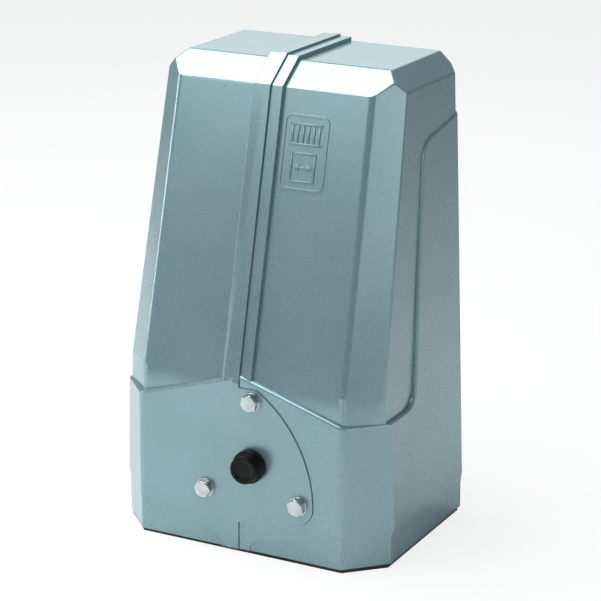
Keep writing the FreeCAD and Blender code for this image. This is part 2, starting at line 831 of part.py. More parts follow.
def outer_form(name, side):
    """The outside of one housing half as a full body."""
    panels = panel_body(f"{name}_panels", side, 0, mm.lean_height - 60)

    def front_corner(edge):
        return is_corner(edge, side)

    def ledge_edge(edge):
        return is_ledge(edge, side)

    round_panels = rounded(f"{name}_panels_a", panels, mm.corner_radius, front_corner)
    proud = proud_body(f"{name}_proud", side)
    round_proud = rounded(f"{name}_proud_a", proud, mm.corner_radius, front_corner)
    rolled_proud = rounded(f"{name}_proud_b", round_proud, mm.ledge_radius, ledge_edge)
    pieces = [round_panels, rolled_proud]
    if side == LEFT:
        pieces.append(band(f"{name}_band", side, mm.band_left, mm.panel_recess + mm.seam_step, band_foot))
        bead_height = mm.panel_recess + mm.seam_step + mm.bead_height
        pieces.append(band(f"{name}_bead", side, mm.bead_width, bead_height, mm.lobe_top + 4))
    else:
        pieces.append(band(f"{name}_band", side, mm.band_right, mm.panel_recess, band_foot))
    whole = fuse(f"{name}_whole", *pieces)
    return cut(f"{name}_outer", whole, skirt(f"{name}_skirt", side))



def cavity(name, side):
    """The hollow of one housing half: the panels and the lower body, each a wall inside."""
    upper = panel_body(f"{name}_upper", side, mm.wall, foot - 1)
    lower_top = mm.ledge_height - mm.wall
    front = front_face[side] + mm.wall
    prism = plan_prism(f"{name}_prism", side, front, mm.wall, foot - 1, lower_top)
    half_foot = foot_half - mm.wall
    faces = front_slab(
        f"{name}_faces",
        side,
        [
            (half_gap, foot - 1),
            (half_foot, foot - 1),
            (half_foot, mm.skirt_height - mm.skirt_slope),
            (skirt_half - mm.wall, mm.skirt_height),
            (ledge_half - mm.wall, mm.ledge_height),
            (half_gap, mm.ledge_height),
        ],
    )
    half_at_foot = skirt_half + (mm.skirt_height - foot) * mm.side_draft - mm.wall
    rear = back_corner(f"{name}_rear", side, half_at_foot, mm.side_draft, mm.wall, foot - 1)
    lower = cut(f"{name}_lower", common(f"{name}_lower_raw", prism, faces), rear)
    return fuse(name, upper, lower)


def finish(name, thing):
    """Name a finished sub-part and remember it for export."""
    thing.Label = name
    finished.append(thing)
    return thing


finished = []


bolt_spots = [
    (mm.shaft_x, mm.shaft_height + mm.bolt_rise),
    (mm.shaft_x - mm.bolt_side, mm.shaft_height - mm.bolt_drop),
    (mm.shaft_x + mm.bolt_side, mm.shaft_height - mm.bolt_drop),
]
foot_screw_x = foot_half - mm.foot_screw_inset
foot_screw_spots = [
    (foot_screw_x, -mm.foot_screw_y),
    (foot_screw_x, mm.foot_screw_y),
    (-foot_screw_x, -mm.foot_screw_y),
    (-foot_screw_x, mm.foot_screw_y),
]


def foot_bosses(name, side):
    """The two bosses at the foot of a housing half that take the foot screws."""
    bosses = []
    for i, (x, y) in enumerate(foot_screw_spots):
        if number(x) * side > 0:
            top = foot + mm.boss_height
            boss = cylinder(f"{name}_boss_{i}", "Z", mm.boss_radius, foot, top, x=x, y=y)
            wall_x = (foot_half - 2) * side
            web_x = (x, wall_x) if side == RIGHT else (wall_x, x)
            web = box(f"{name}_web_{i}", web_x, (y - 3, y + 3), (foot, top))
            bosses += [boss, web]
    return fuse(name, *bosses)


def seam_lugs(name, side):
    """Lugs inside the back wall through which the seam screws pull the halves together."""
    lugs = []
    for i, z in enumerate((mm.seam_screw_low, mm.seam_screw_high)):
        x = (half_gap * side, mm.lug_width * side)
        if side == LEFT:
            x = (x[1], x[0])
        y = (back_inside - mm.lug_depth, back_inside + 1)
        lugs.append(box(f"{name}_lug_{i}", x, y, (z - mm.lug_depth / 2, z + mm.lug_depth / 2)))
    return lugs


def housing_half(name, side):
    """One half of the die-cast housing, hollow, with its holes."""
    hollow = cut(f"{name}_hollow", outer_form(name, side), cavity(f"{name}_cavity", side))
    bosses = common(f"{name}_bosses", foot_bosses(f"{name}_feet", side), outer_form(f"{name}_in", side))
    parts = [hollow, bosses] + seam_lugs(name, side)
    cuts = []
    shaft_y = (back_inside - 5, half_depth + 5)
    hub = mm.case_hub_radius + mm.seat_gap
    cuts.append(cylinder(f"{name}_shaft_hole", "Y", hub, *shaft_y, x=mm.shaft_x, z=mm.shaft_height))
    for i, (x, y) in enumerate(foot_screw_spots):
        if number(x) * side > 0:
            radius = mm.foot_screw_radius + 0.1
            cuts.append(
                cylinder(
                    f"{name}_foot_hole_{i}",
                    "Z",
                    radius,
                    foot - 1,
                    foot + mm.foot_screw_length,
                    x=x,
                    y=y,
                )
            )
    for i, z in enumerate((mm.seam_screw_low, mm.seam_screw_high)):
        y = back_inside - mm.lug_depth / 2
        ends = (half_gap, mm.lug_width + 1) if side == RIGHT else (-mm.lug_width - 1, -half_gap)
        radius = mm.seam_screw_radius + (0.3 if side == RIGHT else 0.1)
        cuts.append(cylinder(f"{name}_seam_hole_{i}", "X", radius, *ends, y=y, z=z))
    if side == LEFT:
        parts.append(lobe_plate("lobe", 0, front_face[LEFT], lobe_back))
        front_y = (front_face[LEFT] - 5, lobe_back + 5)
        cuts.append(
            cylinder("knob_hole", "Y", mm.knob_hole_radius, *front_y, x=mm.shaft_x, z=mm.shaft_height)
        )
        for i, (x, z) in enumerate(bolt_spots):
            radius = mm.bolt_radius + mm.seat_gap
            cuts.append(cylinder(f"bolt_hole_{i}", "Y", radius, *front_y, x=x, z=z))
    else:
        cuts.append(lobe_plate("lobe_window", mm.seam_gap, front_face[LEFT] - 5, lobe_back + 10))
        radius = mm.lever_bush_radius + mm.seat_gap
        cuts.append(cylinder("lever_hole", "Y", radius, *shaft_y, x=mm.lever_x, z=mm.lever_height))
        parts.append(badge_rim("badge"))
    return finish(name, cut(name, fuse(f"{name}_solid", *parts), *cuts))


def badge_rim(name):
    """The plain raised rim of the badge on the right upper panel."""
    plate = badge_plate(f"{name}_plate", 0)
    return cut(name, plate, badge_plate(f"{name}_inside", mm.badge_rim))


def badge_plate(name, inset):
    """A rounded plate that lies on the leaning panel, inset all round."""
    low = mm.shoulder_height - mm.badge_top - mm.badge_length
    high = mm.shoulder_height - mm.badge_top
    slab = front_slab(
        f"{name}_window",
        RIGHT,
        [
            (mm.badge_left + inset, low + inset),
            (mm.badge_left + mm.badge_width - inset, low + inset),
            (mm.badge_left + mm.badge_width - inset, high - inset),
            (mm.badge_left + inset, high - inset),
        ],
    )

    def across(edge):
        return edge.Length > number(far)

    window = rounded(f"{name}_round", slab, mm.badge_radius - inset, across)
    lean = lean_back / lean_rise
    face_low = panel_face + (low - 10 - mm.lean_height) * lean
    face_high = panel_face + (high + 10 - mm.lean_height) * lean
    layer = side_slab(
        f"{name}_layer",
        RIGHT,
        [
            (face_low - mm.badge_rise, low - 10),
            (face_low + 2, low - 10),
            (face_high + 2, high + 10),
            (face_high - mm.badge_rise, high + 10),
        ],
    )
    return common(name, window, layer)


left_shell = housing_half("left_shell", LEFT)
right_shell = housing_half("right_shell", RIGHT)

# ---------------------------------------------------------------- base plate and housing fixings


def slot_cut(name, x, y):
    """An anchor slot along X."""
    run = (mm.anchor_slot - mm.anchor_width) / 2
    across = mm.anchor_width / 2
    ends = [cylinder(f"{name}_end_{i}", "Z", across, -1, foot + 1, x=x + run * i, y=y) for i in (-1, 1)]
    return fuse(
        name,
        box(f"{name}_run", (x - run, x + run), (y - across, y + across), (-1, foot + 1)),
        *ends,
    )


cable_middle = foot_half - mm.cable_inset
cable_x = (cable_middle - mm.cable_hole_x / 2, cable_middle + mm.cable_hole_x / 2)
cable_y = (mm.cable_y - mm.cable_hole_y / 2, mm.cable_y + mm.cable_hole_y / 2)
bracket_x = cable_x[0] - mm.grommet_rim - mm.bracket_gap
case_right = bracket_x - mm.bracket_foot - mm.case_gap
anchor_spots = [
    (mm.anchor_span_x / 2 * i, mm.anchor_span_y / 2 * j) for i in (-1, 1) for j in (-1, 1)
]
case_bolt_spots = [
    (x, y)
    for x in (mm.case_bolt_inset - mm.case_foot_left, case_right - mm.case_bolt_inset)
    for y in (mm.case_bolt_inset - mm.case_foot_front, mm.case_foot_back - mm.case_bolt_inset)
]
plate_half = foot_half - mm.plate_inset
plate_front = -half_depth + mm.skirt_recess + mm.plate_inset
plate_corner = [
    (corner_x, plate_front),
    (plate_half, plate_front + (plate_half - corner_x)),
    (plate_half, half_depth - mm.plate_inset - 4),
    (plate_half - 4, half_depth - mm.plate_inset),
]
plate_outline = outline(
    "plate_outline", "XY", plate_corner + [(-x, y) for x, y in reversed(plate_corner)]
)
plate_cuts = [slot_cut(f"anchor_{i}", x, y) for i, (x, y) in enumerate(anchor_spots)]
plate_cuts.append(box("cable_hole", cable_x, cable_y, (-1, foot + 1)))
for i, (x, y) in enumerate(foot_screw_spots):
    sink = cone(
        f"plate_sink_{i}",
        mm.foot_screw_radius * 1.9 + 1.2,
        mm.foot_screw_radius + 0.2,
        0,
        3.8,
        x,
        y,
    )
    hole = cylinder(f"plate_screw_{i}", "Z", mm.foot_screw_radius + 0.2, -1, foot + 1, x=x, y=y)
    plate_cuts.append(fuse(f"plate_countersink_{i}", sink, hole))
for i, (x, y) in enumerate(case_bolt_spots):
    plate_cuts.append(cylinder(f"plate_bolt_{i}", "Z", mm.case_bolt_radius + 0.1, -1, foot + 1, x=x, y=y))
bracket_back = mm.bracket_depth - 32
bracket_screw_spots = [(bracket_x - 9, -24), (bracket_x - 9, bracket_back - 12)]
for i, (x, y) in enumerate(bracket_screw_spots):
    plate_cuts.append(cylinder(f"plate_bracket_{i}", "Z", 2.2, -1, foot + 1, x=x, y=y))
base_plate = cut("base_plate", extrude("plate_blank", plate_outline, z=foot), *plate_cuts)
finish("base_plate", base_plate)


def screw(name, radius, shank, head_radius, head, x, y, z):
    """A turned screw along +Y whose head's underside is at its origin."""
    profile = [
        (0, -head),
        (head_radius, -head),
        (head_radius, 0),
        (radius, 0),
        (radius, shank),
        (0, shank),
    ]
    return turned(name, "Y", profile, x, y, z)


foot_screws = []
for i, (x, y) in enumerate(foot_screw_spots):
    shank = mm.foot_screw_radius
    profile = [
        (0, 0.2),
        (shank * 1.9, 0.2),
        (shank * 1.9, 0.7),
        (shank, 3.4),
        (shank, foot + mm.foot_screw_length - 2),
        (0, foot + mm.foot_screw_length - 2),
    ]
    foot_screws.append(turned(f"foot_screw_{i}", "Z", profile, x, y, 0))


def hex_bolts(name, spots, width, head, radius, shank, y):
    """A set of equal hexagon bolts along +Y."""
    return [hex_bolt(f"{name}_{i}", width, head, radius, shank, x, y, z) for i, (x, z) in enumerate(spots)]


lobe_front = front_face[LEFT]
washer_front = lobe_front - mm.washer_thickness
finish(
    "flange_washers",
    group(
        "flange_washer_set",
        [
            ring(
                f"flange_washer_{i}",
                "Y",
                mm.bolt_radius + 0.3,
                mm.washer_radius,
                0,
                mm.washer_thickness,
                x,
                washer_front,
                z,
            )
            for i, (x, z) in enumerate(bolt_spots)
        ],
    ),
)
bolt_shank = mm.washer_thickness + mm.wall + 20
finish(
    "flange_bolts",
    group(
        "flange_bolt_set",
        hex_bolts(
            "flange_bolt",
            bolt_spots,
            mm.bolt_head_width,
            mm.bolt_head_height,
            mm.bolt_radius,
            bolt_shank,
            washer_front,
        ),
    ),
)
seam_y = back_inside - mm.lug_depth / 2
seam_screws = []
for i, z in enumerate((mm.seam_screw_low, mm.seam_screw_high)):
    seam_head = cylinder(
        f"seam_head_{i}",
        "X",
        mm.seam_screw_radius * 1.7,
        mm.lug_width,
        mm.lug_width + 5,
        y=seam_y,
        z=z,
    )
    socket = cylinder(
        f"seam_socket_{i}",
        "X",
        mm.seam_screw_radius * 0.8,
        mm.lug_width + 2,
        mm.lug_width + 6,
        y=seam_y,
        z=z,
    )
    shank = cylinder(
        f"seam_shank_{i}",
        "X",
        mm.seam_screw_radius,
        -mm.lug_width,
        mm.lug_width + 1,
        y=seam_y,
        z=z,
    )
    seam_screws.append(cut(f"seam_screw_{i}", fuse(f"seam_blank_{i}", seam_head, shank), socket))
finish("seam_screws", group("seam_screw_set", seam_screws))

# ---------------------------------------------------------------- gear case

case_front = -mm.case_front
wheel_tip = mm.gear_module * (mm.wheel_teeth / 2 + 1)
case_bore = wheel_tip + mm.case_room
tower_bore = mm.bearing_radius + 0.1
tower = {"x": worm_x, "y": mm.wheel_y}
shaft_line = {"x": mm.shaft_x, "z": mm.shaft_height}
foot_top = foot + mm.case_foot
cover_front = case_front - mm.cover_thickness
hub_end = half_depth + 3
cover_screw_spots = [
    (
        mm.shaft_x + mm.case_screw_circle * round(math.cos(math.radians(turn)), 5),
        mm.shaft_height + mm.case_screw_circle * round(math.sin(math.radians(turn)), 5),
    )
    for turn in (0, 52, 128, 180, 250, 290)
]
plug_x = mm.shaft_x + 22
plug_y = case_front + 30
case_form = fuse(
    "case_form",
    cylinder("case_barrel", "Y", mm.case_radius, case_front, mm.case_back, **shaft_line),
    cylinder(
        "case_flange",
        "Y",
        mm.case_flange_radius,
        case_front,
        case_front + mm.case_flange,
        **shaft_line,
    ),
    cylinder("case_hub", "Y", mm.case_hub_radius, mm.case_back - 6, hub_end, **shaft_line),
    cylinder("case_tower", "Z", mm.tower_radius, mm.tower_foot, mm.tower_top, **tower),
    cylinder("case_tower_flange", "Z", mm.tower_flange_radius, mm.tower_top - 10, mm.tower_top, **tower),
    cylinder("plug_boss", "Z", 12, mm.shaft_height + 40, mm.shaft_height + 64, x=plug_x, y=plug_y),
    box(
        "case_foot_plate",
        (-mm.case_foot_left, case_right),
        (-mm.case_foot_front, mm.case_foot_back),
        (foot, foot_top),
    ),
    box(
        "case_pedestal",
        (-40, case_right - mm.case_bolt_inset - 11),
        (-mm.case_foot_front + 8, mm.case_foot_back - 12),
        (foot_top, 62),
    ),
    box(
        "case_rib",
        (mm.shaft_x - 4, mm.shaft_x + 4),
        (mm.case_back - 4, half_depth - 15),
        (62, mm.shaft_height),
    ),
)
case_cuts = [
    fuse(
        "case_rooms",
        cylinder("case_room_bore", "Y", case_bore, case_front - 1, mm.case_back - 6, **shaft_line),
        cylinder("case_tower_bore", "Z", tower_bore, mm.tower_foot + 6, mm.tower_top + 1, **tower),
        cylinder("case_bush_bore", "Y", mm.bush_radius + 0.1, mm.case_back - 10, hub_end + 1, **shaft_line),
        cylinder("case_seal_bore", "Y", mm.seal_radius + 0.1, hub_end - 8, hub_end + 1, **shaft_line),
        cylinder(
            "plug_bore",
            "Z",
            mm.plug_radius,
            mm.shaft_height + 30,
            mm.shaft_height + 65,
            x=plug_x,
            y=plug_y,
        ),
    )
]
for i, (x, z) in enumerate(cover_screw_spots):
    radius = mm.case_screw_radius + 0.1
    case_cuts.append(
        cylinder(
            f"case_screw_hole_{i}",
            "Y",
            radius,
            case_front - 1,
            case_front + mm.case_flange + 1,
            x=x,
            z=z,
        )
    )
for i, (x, y) in enumerate(case_bolt_spots):
    case_cuts.append(
        cylinder(f"case_bolt_hole_{i}", "Z", mm.case_bolt_radius + 0.3, foot - 1, foot_top + 1, x=x, y=y)
    )
motor_bolt_spots = [
    (worm_x + mm.tower_flange_radius * 0.61 * i, mm.wheel_y + mm.tower_flange_radius * 0.61 * j)
    for i in (-1, 1)
    for j in (-1, 1)
]
for i, (x, y) in enumerate(motor_bolt_spots):
    case_cuts.append(
        cylinder(f"motor_bolt_hole_{i}", "Z", 3.1, mm.tower_top - 11, mm.tower_top + 1, x=x, y=y)
    )
finish("gear_case", cut("gear_case", case_form, *case_cuts))

cover_form = fuse(
    "cover_form",
    cylinder("cover_disc", "Y", mm.case_flange_radius, cover_front, case_front, **shaft_line),
    cylinder("cover_hub", "Y", mm.cover_hub, cover_front - 12, case_front, **shaft_line),
    *[
        cylinder(f"cover_boss_{i}", "Y", mm.cover_boss, lobe_back, case_front - 1, x=x, z=z)
        for i, (x, z) in enumerate(bolt_spots)
    ],
)
cover_cuts = [
    fuse(
        "cover_bores",
        cylinder(
            "cover_bush_bore",
            "Y",
            mm.bush_radius + 0.1,
            cover_front - 9,
            case_front + 1,
            **shaft_line,
        ),
        cylinder("cover_knob_bore", "Y", mm.knob_hole_radius, cover_front - 13, case_front, **shaft_line),
    )
]
for i, (x, z) in enumerate(bolt_spots):
    cover_cuts.append(
        cylinder(f"cover_bolt_hole_{i}", "Y", mm.bolt_radius + 0.1, lobe_back - 1, lobe_back + 24, x=x, z=z)
    )
for i, (x, z) in enumerate(cover_screw_spots):
    cover_cuts.append(
        cylinder(
            f"cover_screw_hole_{i}",
            "Y",
            mm.case_screw_radius + 0.3,
            cover_front - 1,
            case_front + 1,
            x=x,
            z=z,
        )
    )
finish("gear_case_cover", cut("gear_case_cover", cover_form, *cover_cuts))
finish(
    "cover_screws",
    group(
        "cover_screw_set",
        [
            screw(
                f"cover_screw_{i}",
                mm.case_screw_radius,
                mm.cover_thickness + mm.case_flange - 1,
                5,
                5,
                x,
                cover_front,
                z,
            )
            for i, (x, z) in enumerate(cover_screw_spots)
        ],
    ),
)


def down_screws(name, spots, radius, shank, head_radius, head, z):
    """Turned screws that point down, heads standing on the height z."""
    screws = []
    for i, (x, y) in enumerate(spots):
        profile = [
            (0, -shank),
            (radius, -shank),
            (radius, 0),
            (head_radius, 0),
            (head_radius, head),
            (0, head),
        ]
        screws.append(turned(f"{name}_{i}", "Z", profile, x, y, z))
    return group(f"{name}_set", screws)


finish(
    "case_bolts",
    down_screws("case_bolt", case_bolt_spots, mm.case_bolt_radius, mm.case_foot + 3, 7.0, 5.5, foot_top),
)
plug_profile = [
    (0, -12),
    (mm.plug_radius - 0.1, -12),
    (mm.plug_radius - 0.1, 0),
    (mm.plug_radius + 3, 0),
    (mm.plug_radius + 3, 2),
    (mm.plug_radius, 3),
    (mm.plug_radius, 8),
    (0, 8),
]
finish("oil_plug", turned("oil_plug", "Z", plug_profile, plug_x, plug_y, mm.shaft_height + 64))
finish("foot_screws", group("foot_screw_set", foot_screws))

shaft_hole = mm.shaft_radius + mm.running_gap
rear_bush = ring("rear_bush", "Y", shaft_hole, mm.bush_radius, mm.case_back + 14, hub_end - 9, **shaft_line)
front_bush = ring(
    "front_bush",
    "Y",
    shaft_hole,
    mm.bush_radius,
    cover_front - 8.5,
    case_front - 2,
    **shaft_line,
)
finish("shaft_bushes", group("shaft_bush_set", [rear_bush, front_bush]))
finish(
    "shaft_seal",
    ring(
        "shaft_seal",
        "Y",
        mm.shaft_radius + 0.3,
        mm.seal_radius,
        hub_end - 7.5,
        hub_end - 0.5,
        **shaft_line,
    ),
)

# ---------------------------------------------------------------- output shaft with clutch, wheel and pinion

shaft_front = cover_front - 6
pinion_front = half_depth + mm.pinion_gap
pinion_back = pinion_front + mm.pinion_width
drum_back = mm.wheel_y - mm.wheel_width / 2 - 4.3
drum_front = drum_back - mm.plate_pitch * mm.clutch_plate_count - 12
hollow = mm.spindle_radius + 1.5


def gear_tooth(module, teeth, radii, play):
    """Half angles of an involute tooth at some radii, from the sheet's numbers."""
    pitch = module * teeth / 2
    base = pitch * math.cos(math.radians(20))

    def involute(angle):
        return math.tan(angle) - angle

    half = (math.pi * module / 2 - play) / (2 * pitch)
    angles = []
    for radius in radii:
        pressure = math.acos(min(1.0, base / radius))
        angles.append(half + involute(math.radians(20)) - involute(pressure))
    return angles


def tooth_corners(radii, angles, turn):
    """A tooth as a polygon: up one flank and down the other, turned by an angle."""
    right = [(r * math.cos(turn - a), r * math.sin(turn - a)) for r, a in zip(radii, angles)]
    left = [(r * math.cos(turn + a), r * math.sin(turn + a)) for r, a in zip(radii, angles)]
    return right + left[::-1]


shaft_profile = [
    (hollow, shaft_front),
    (mm.shaft_radius, shaft_front),
    (mm.shaft_radius, pinion_back - 2),
    (0, pinion_back - 2),
    (0, drum_back),
    (hollow, drum_back),
]
output_shaft = turned("output_shaft", "Y", shaft_profile, **shaft_line)
finish("output_shaft", output_shaft)

wheel = new_body("worm_wheel", mm.shaft_x, mm.wheel_y, mm.shaft_height)
half_width = mm.wheel_width / 2
root = mm.gear_module * (mm.wheel_teeth / 2 - 1.2)
wheel_blank = body_sketch(wheel, "wheel_profile", "XY")
draw_polygon(
    wheel_blank,
    [
        (shaft_hole, -half_width - 4),
        (21, -half_width - 4),
        (21, -5),
        (root - 6, -5),
        (root - 5, -half_width),
        (root, -half_width),
        (root, half_width),
        (root - 5, half_width),
        (root - 6, 5),
        (21, 5),
        (21, half_width + 2),
        (shaft_hole, half_width + 2),
    ],
)
revolve(wheel, "wheel_blank", wheel_blank)
wheel_radii = [root - 0.5, mm.gear_module * mm.wheel_teeth / 2, wheel_tip]
wheel_numbers = [number(root), number(mm.gear_module) * number(mm.wheel_teeth) / 2, number(wheel_tip)]
wheel_angles = gear_tooth(
    number(mm.gear_module),
    number(mm.wheel_teeth),
    wheel_numbers,
    number(mm.tooth_play),
)
lead_turn = number(half_width) * number(mm.gear_module) / (2 * number(mm.worm_pitch_radius)) / wheel_numbers[1]
ends = []
for which, turn in ((-1, lead_turn), (1, -lead_turn)):
    sketch = body_sketch(
        wheel,
        f"wheel_tooth_{'front' if which < 0 else 'back'}",
        "XZ",
        half_width * -which,
    )
    draw_polygon(sketch, tooth_corners(wheel_radii, wheel_angles, turn))
    ends.append(sketch)
wheel_tooth = wheel.newObject("PartDesign::AdditiveLoft", "wheel_tooth")
wheel_tooth.Profile = ends[0]
wheel_tooth.Sections = [ends[1]]
wheel_tooth.Ruled = True
polar(wheel, "wheel_teeth", wheel_tooth, "Y_Axis", mm.wheel_teeth)
finish("worm_wheel", wheel)


def slotted(body, name, sketch_corners, count, start, depth):
    """Cut slots all round a turned piece, through sketches on the XZ plane."""
    sketch = body_sketch(body, f"{name}_slot", "XZ", -start)
    draw_polygon(sketch, sketch_corners)
    pocket = body.newObject("PartDesign::Pocket", f"{name}_pocket")
    pocket.Profile = sketch
    bind(pocket, "Length", depth)
    pocket.Midplane = True
    return polar(body, f"{name}_slots", pocket, "Y_Axis", count)


drum_inner = mm.clutch_radius - mm.drum_wall
drum = turned(
    "clutch_drum",
    "Y",
    [
        (21.3, drum_back),
        (mm.clutch_radius, drum_back),
        (mm.clutch_radius, drum_front),
        (drum_inner, drum_front),
        (drum_inner, drum_back - 4),
        (21.3, drum_back - 4),
    ],
    **shaft_line,
)
slot_length = drum_back - drum_front - 8
slot_middle = (drum_back - 8 + drum_front) / 2
slot_corners = [
    (drum_inner - 2, -5),
    (mm.clutch_radius + 2, -5),
    (mm.clutch_radius + 2, 5),
    (drum_inner - 2, 5),
]
slotted(drum, "drum", slot_corners, 6, slot_middle, slot_length)
finish("clutch_drum", drum)

hub_radius = 19
clutch_hub = ring("clutch_hub", "Y", shaft_hole, hub_radius, drum_front + 2, drum_back - 0.3, **shaft_line)
finish("clutch_hub", clutch_hub)


def clutch_plate(name, inner, outer, y, tabs):
    """A clutch plate: a thin ring, with tabs if it turns with the drum."""
    plate = ring(name, "Y", inner, outer, 0, mm.plate_pitch / 2 - 0.2, mm.shaft_x, y, mm.shaft_height)
    if tabs:
        sketch = body_sketch(plate, f"{name}_tab", "XZ")
        draw_polygon(
            sketch,
            [(outer - 3, -4), (mm.clutch_radius - 0.5, -4), (mm.clutch_radius - 0.5, 4), (outer - 3, 4)],
        )
        tab = pad(plate, f"{name}_tab_pad", sketch, mm.plate_pitch / 2 - 0.2, backwards=True)
        polar(plate, f"{name}_tabs", tab, "Y_Axis", 6)
    return plate


outer_plates = []
inner_plates = []
plate_start = drum_back - 8 - mm.plate_pitch / 2
for i in range(number(mm.clutch_plate_count)):
    y = plate_start - mm.plate_pitch * i
    outer_plates.append(clutch_plate(f"outer_plate_{i}", 21, drum_inner - 0.5, y, True))
    inner_plates.append(
        clutch_plate(f"inner_plate_{i}", hub_radius + 0.1, drum_inner - 2, y + mm.plate_pitch / 2, False)
    )
finish("clutch_outer_plates", group("outer_plate_set", outer_plates))
finish("clutch_inner_plates", group("inner_plate_set", inner_plates))
last_plate = plate_start - mm.plate_pitch * (mm.clutch_plate_count - 1)
pressure_back = last_plate - 0.2
pressure_front = pressure_back - 5
finish(
    "pressure_plate",
    ring(
        "pressure_plate",
        "Y",
        hub_radius + 0.2,
        drum_inner - 2,
        pressure_front,
        pressure_back,
        **shaft_line,
    ),
)
spring_front = pressure_front - 9
spring_profile = [
    (shaft_hole + 0.4, spring_front),
    (shaft_hole + 0.4, spring_front + 2),
    (28, pressure_front),
    (30, pressure_front - 0.2),
    (30, pressure_front - 2),
    (28, pressure_front - 2.2),
]
finish("disc_springs", turned("disc_springs", "Y", spring_profile, **shaft_line))

# release gear: the knob turns a spindle that draws the spring seat off the springs
pin_y = spring_front - 4.5
seat_back = spring_front - 0.3
seat_front = seat_back - 8
shaft_slots = body_sketch(output_shaft, "pin_slots", "XY")
slot_half = mm.pin_radius + 0.3
draw_polygon(
    shaft_slots,
    [
        (-slot_half, pin_y - slot_half - mm.release_travel),
        (slot_half, pin_y - slot_half - mm.release_travel),
        (slot_half, pin_y + slot_half),
        (-slot_half, pin_y + slot_half),
    ],
)
slot_pocket = output_shaft.newObject("PartDesign::Pocket", "pin_slot_pocket")
slot_pocket.Profile = shaft_slots
slot_pocket.Midplane = True
bind(slot_pocket, "Length", mm.shaft_radius * 4)

seat_nut = cut(
    "seat_nut",
    cylinder("seat_nut_round", "Y", hollow - 0.2, seat_front - 2, seat_back + 2, **shaft_line),
    cylinder(
        "seat_nut_bore",
        "Y",
        mm.spindle_radius + mm.running_gap,
        seat_front - 3,
        seat_back + 3,
        **shaft_line,
    ),
)
seat_ring = cut(
    "seat_ring",
    cylinder("seat_ring_round", "Y", 22, seat_front, seat_back, **shaft_line),
    cylinder("seat_ring_bore", "Y", mm.shaft_radius + 0.2, seat_front - 1, seat_back + 1, **shaft_line),
)
seat_pins = [
    cylinder(
        f"seat_pin_{i}",
        "Z",
        mm.pin_radius,
        start,
        start + 16.5 - mm.spindle_radius - 0.8,
        x=mm.shaft_x,
        y=pin_y,
    )
    for i, start in enumerate((mm.shaft_height - 16.5, mm.shaft_height + mm.spindle_radius + 0.8))
]
finish("spring_seat", fuse("spring_seat", seat_nut, seat_ring, *seat_pins))

knob_front = lobe_front - mm.knob_length
knob_profile = [
    (mm.spindle_radius + 0.1, knob_front + 4),
    (0, knob_front + 4),
    (0, knob_front),
    (mm.knob_nose_radius - 2.5, knob_front),
    (mm.knob_nose_radius, knob_front + 2.5),
    (mm.knob_nose_radius, lobe_front - mm.knob_collar),
    (mm.knob_radius - 1, lobe_front - mm.knob_collar),
    (mm.knob_radius, lobe_front - mm.knob_collar + 1),
    (mm.knob_radius, lobe_front - 1),
    (mm.knob_radius - 0.5, lobe_front - 0.5),
    (mm.knob_hole_radius - 0.6, lobe_front - 0.5),
    (mm.knob_hole_radius - 0.6, lobe_front + 14),
    (mm.spindle_radius + 0.1, lobe_front + 14),
]
finish("knob", turned("knob", "Y", knob_profile, **shaft_line))
spindle_profile = [
    (0, knob_front + 4.3),
    (mm.spindle_radius, knob_front + 4.3),
    (mm.spindle_radius, lobe_front + 16),
    (hollow - 0.2, lobe_front + 16),
    (hollow - 0.2, shaft_front + 8),
    (mm.spindle_radius, shaft_front + 8),
    (mm.spindle_radius, seat_back + 8),
    (0, seat_back + 8),
]
finish("knob_spindle", turned("knob_spindle", "Y", spindle_profile, **shaft_line))

# drive pinion
pinion = new_body("drive_pinion", mm.shaft_x, pinion_front, mm.shaft_height)
pinion_pitch = mm.pinion_module * mm.pinion_teeth / 2
pinion_root = pinion_pitch - mm.pinion_module * 1.25
pinion_blank = body_sketch(pinion, "pinion_profile", "XY")
draw_polygon(
    pinion_blank,
    [
        (shaft_hole, 0),
        (pinion_root - 2, 0),
        (pinion_root, 1),
        (pinion_root, mm.pinion_width - 1),
        (pinion_root - 2, mm.pinion_width),
        (shaft_hole, mm.pinion_width),
    ],
)
revolve(pinion, "pinion_blank", pinion_blank)
pinion_radii = [pinion_root - 0.4, pinion_pitch * 0.945, pinion_pitch, pinion_pitch + mm.pinion_module]
pinion_numbers = [number(pinion_pitch) * 0.94, number(pinion_pitch) * 0.945]
pinion_numbers += [number(pinion_pitch), number(pinion_pitch + mm.pinion_module)]
pinion_angles = gear_tooth(number(mm.pinion_module), number(mm.pinion_teeth), pinion_numbers, 0.2)
tooth_sketch = body_sketch(pinion, "pinion_tooth_outline", "XZ")
draw_polygon(tooth_sketch, tooth_corners(pinion_radii, pinion_angles, 0))
pinion_tooth = pad(pinion, "pinion_tooth", tooth_sketch, mm.pinion_width, backwards=True)
polar(pinion, "pinion_tooth_ring", pinion_tooth, "Y_Axis", mm.pinion_teeth)
keyway = body_sketch(pinion, "pinion_keyway", "XZ")
key_half = mm.key_width / 2
draw_polygon(
    keyway,
    [(-key_half, 0), (key_half, 0), (key_half, mm.shaft_radius + 3.3), (-key_half, mm.shaft_radius + 3.3)],
)
key_pocket = pinion.newObject("PartDesign::Pocket", "pinion_keyway_cut")
key_pocket.Profile = keyway
key_pocket.Midplane = True
bind(key_pocket, "Length", mm.pinion_width * 3)
finish("drive_pinion", pinion)
key_side = (mm.shaft_x - key_half + 0.1, mm.shaft_x + key_half - 0.1)
key_up = (mm.shaft_height + mm.shaft_radius - 4, mm.shaft_height + mm.shaft_radius + 3)
key_run = (pinion_front + 2, pinion_back - 4)
finish("pinion_key", box("pinion_key", key_side, key_run, key_up))
shaft_keyway = body_sketch(output_shaft, "shaft_keyway", "YZ")
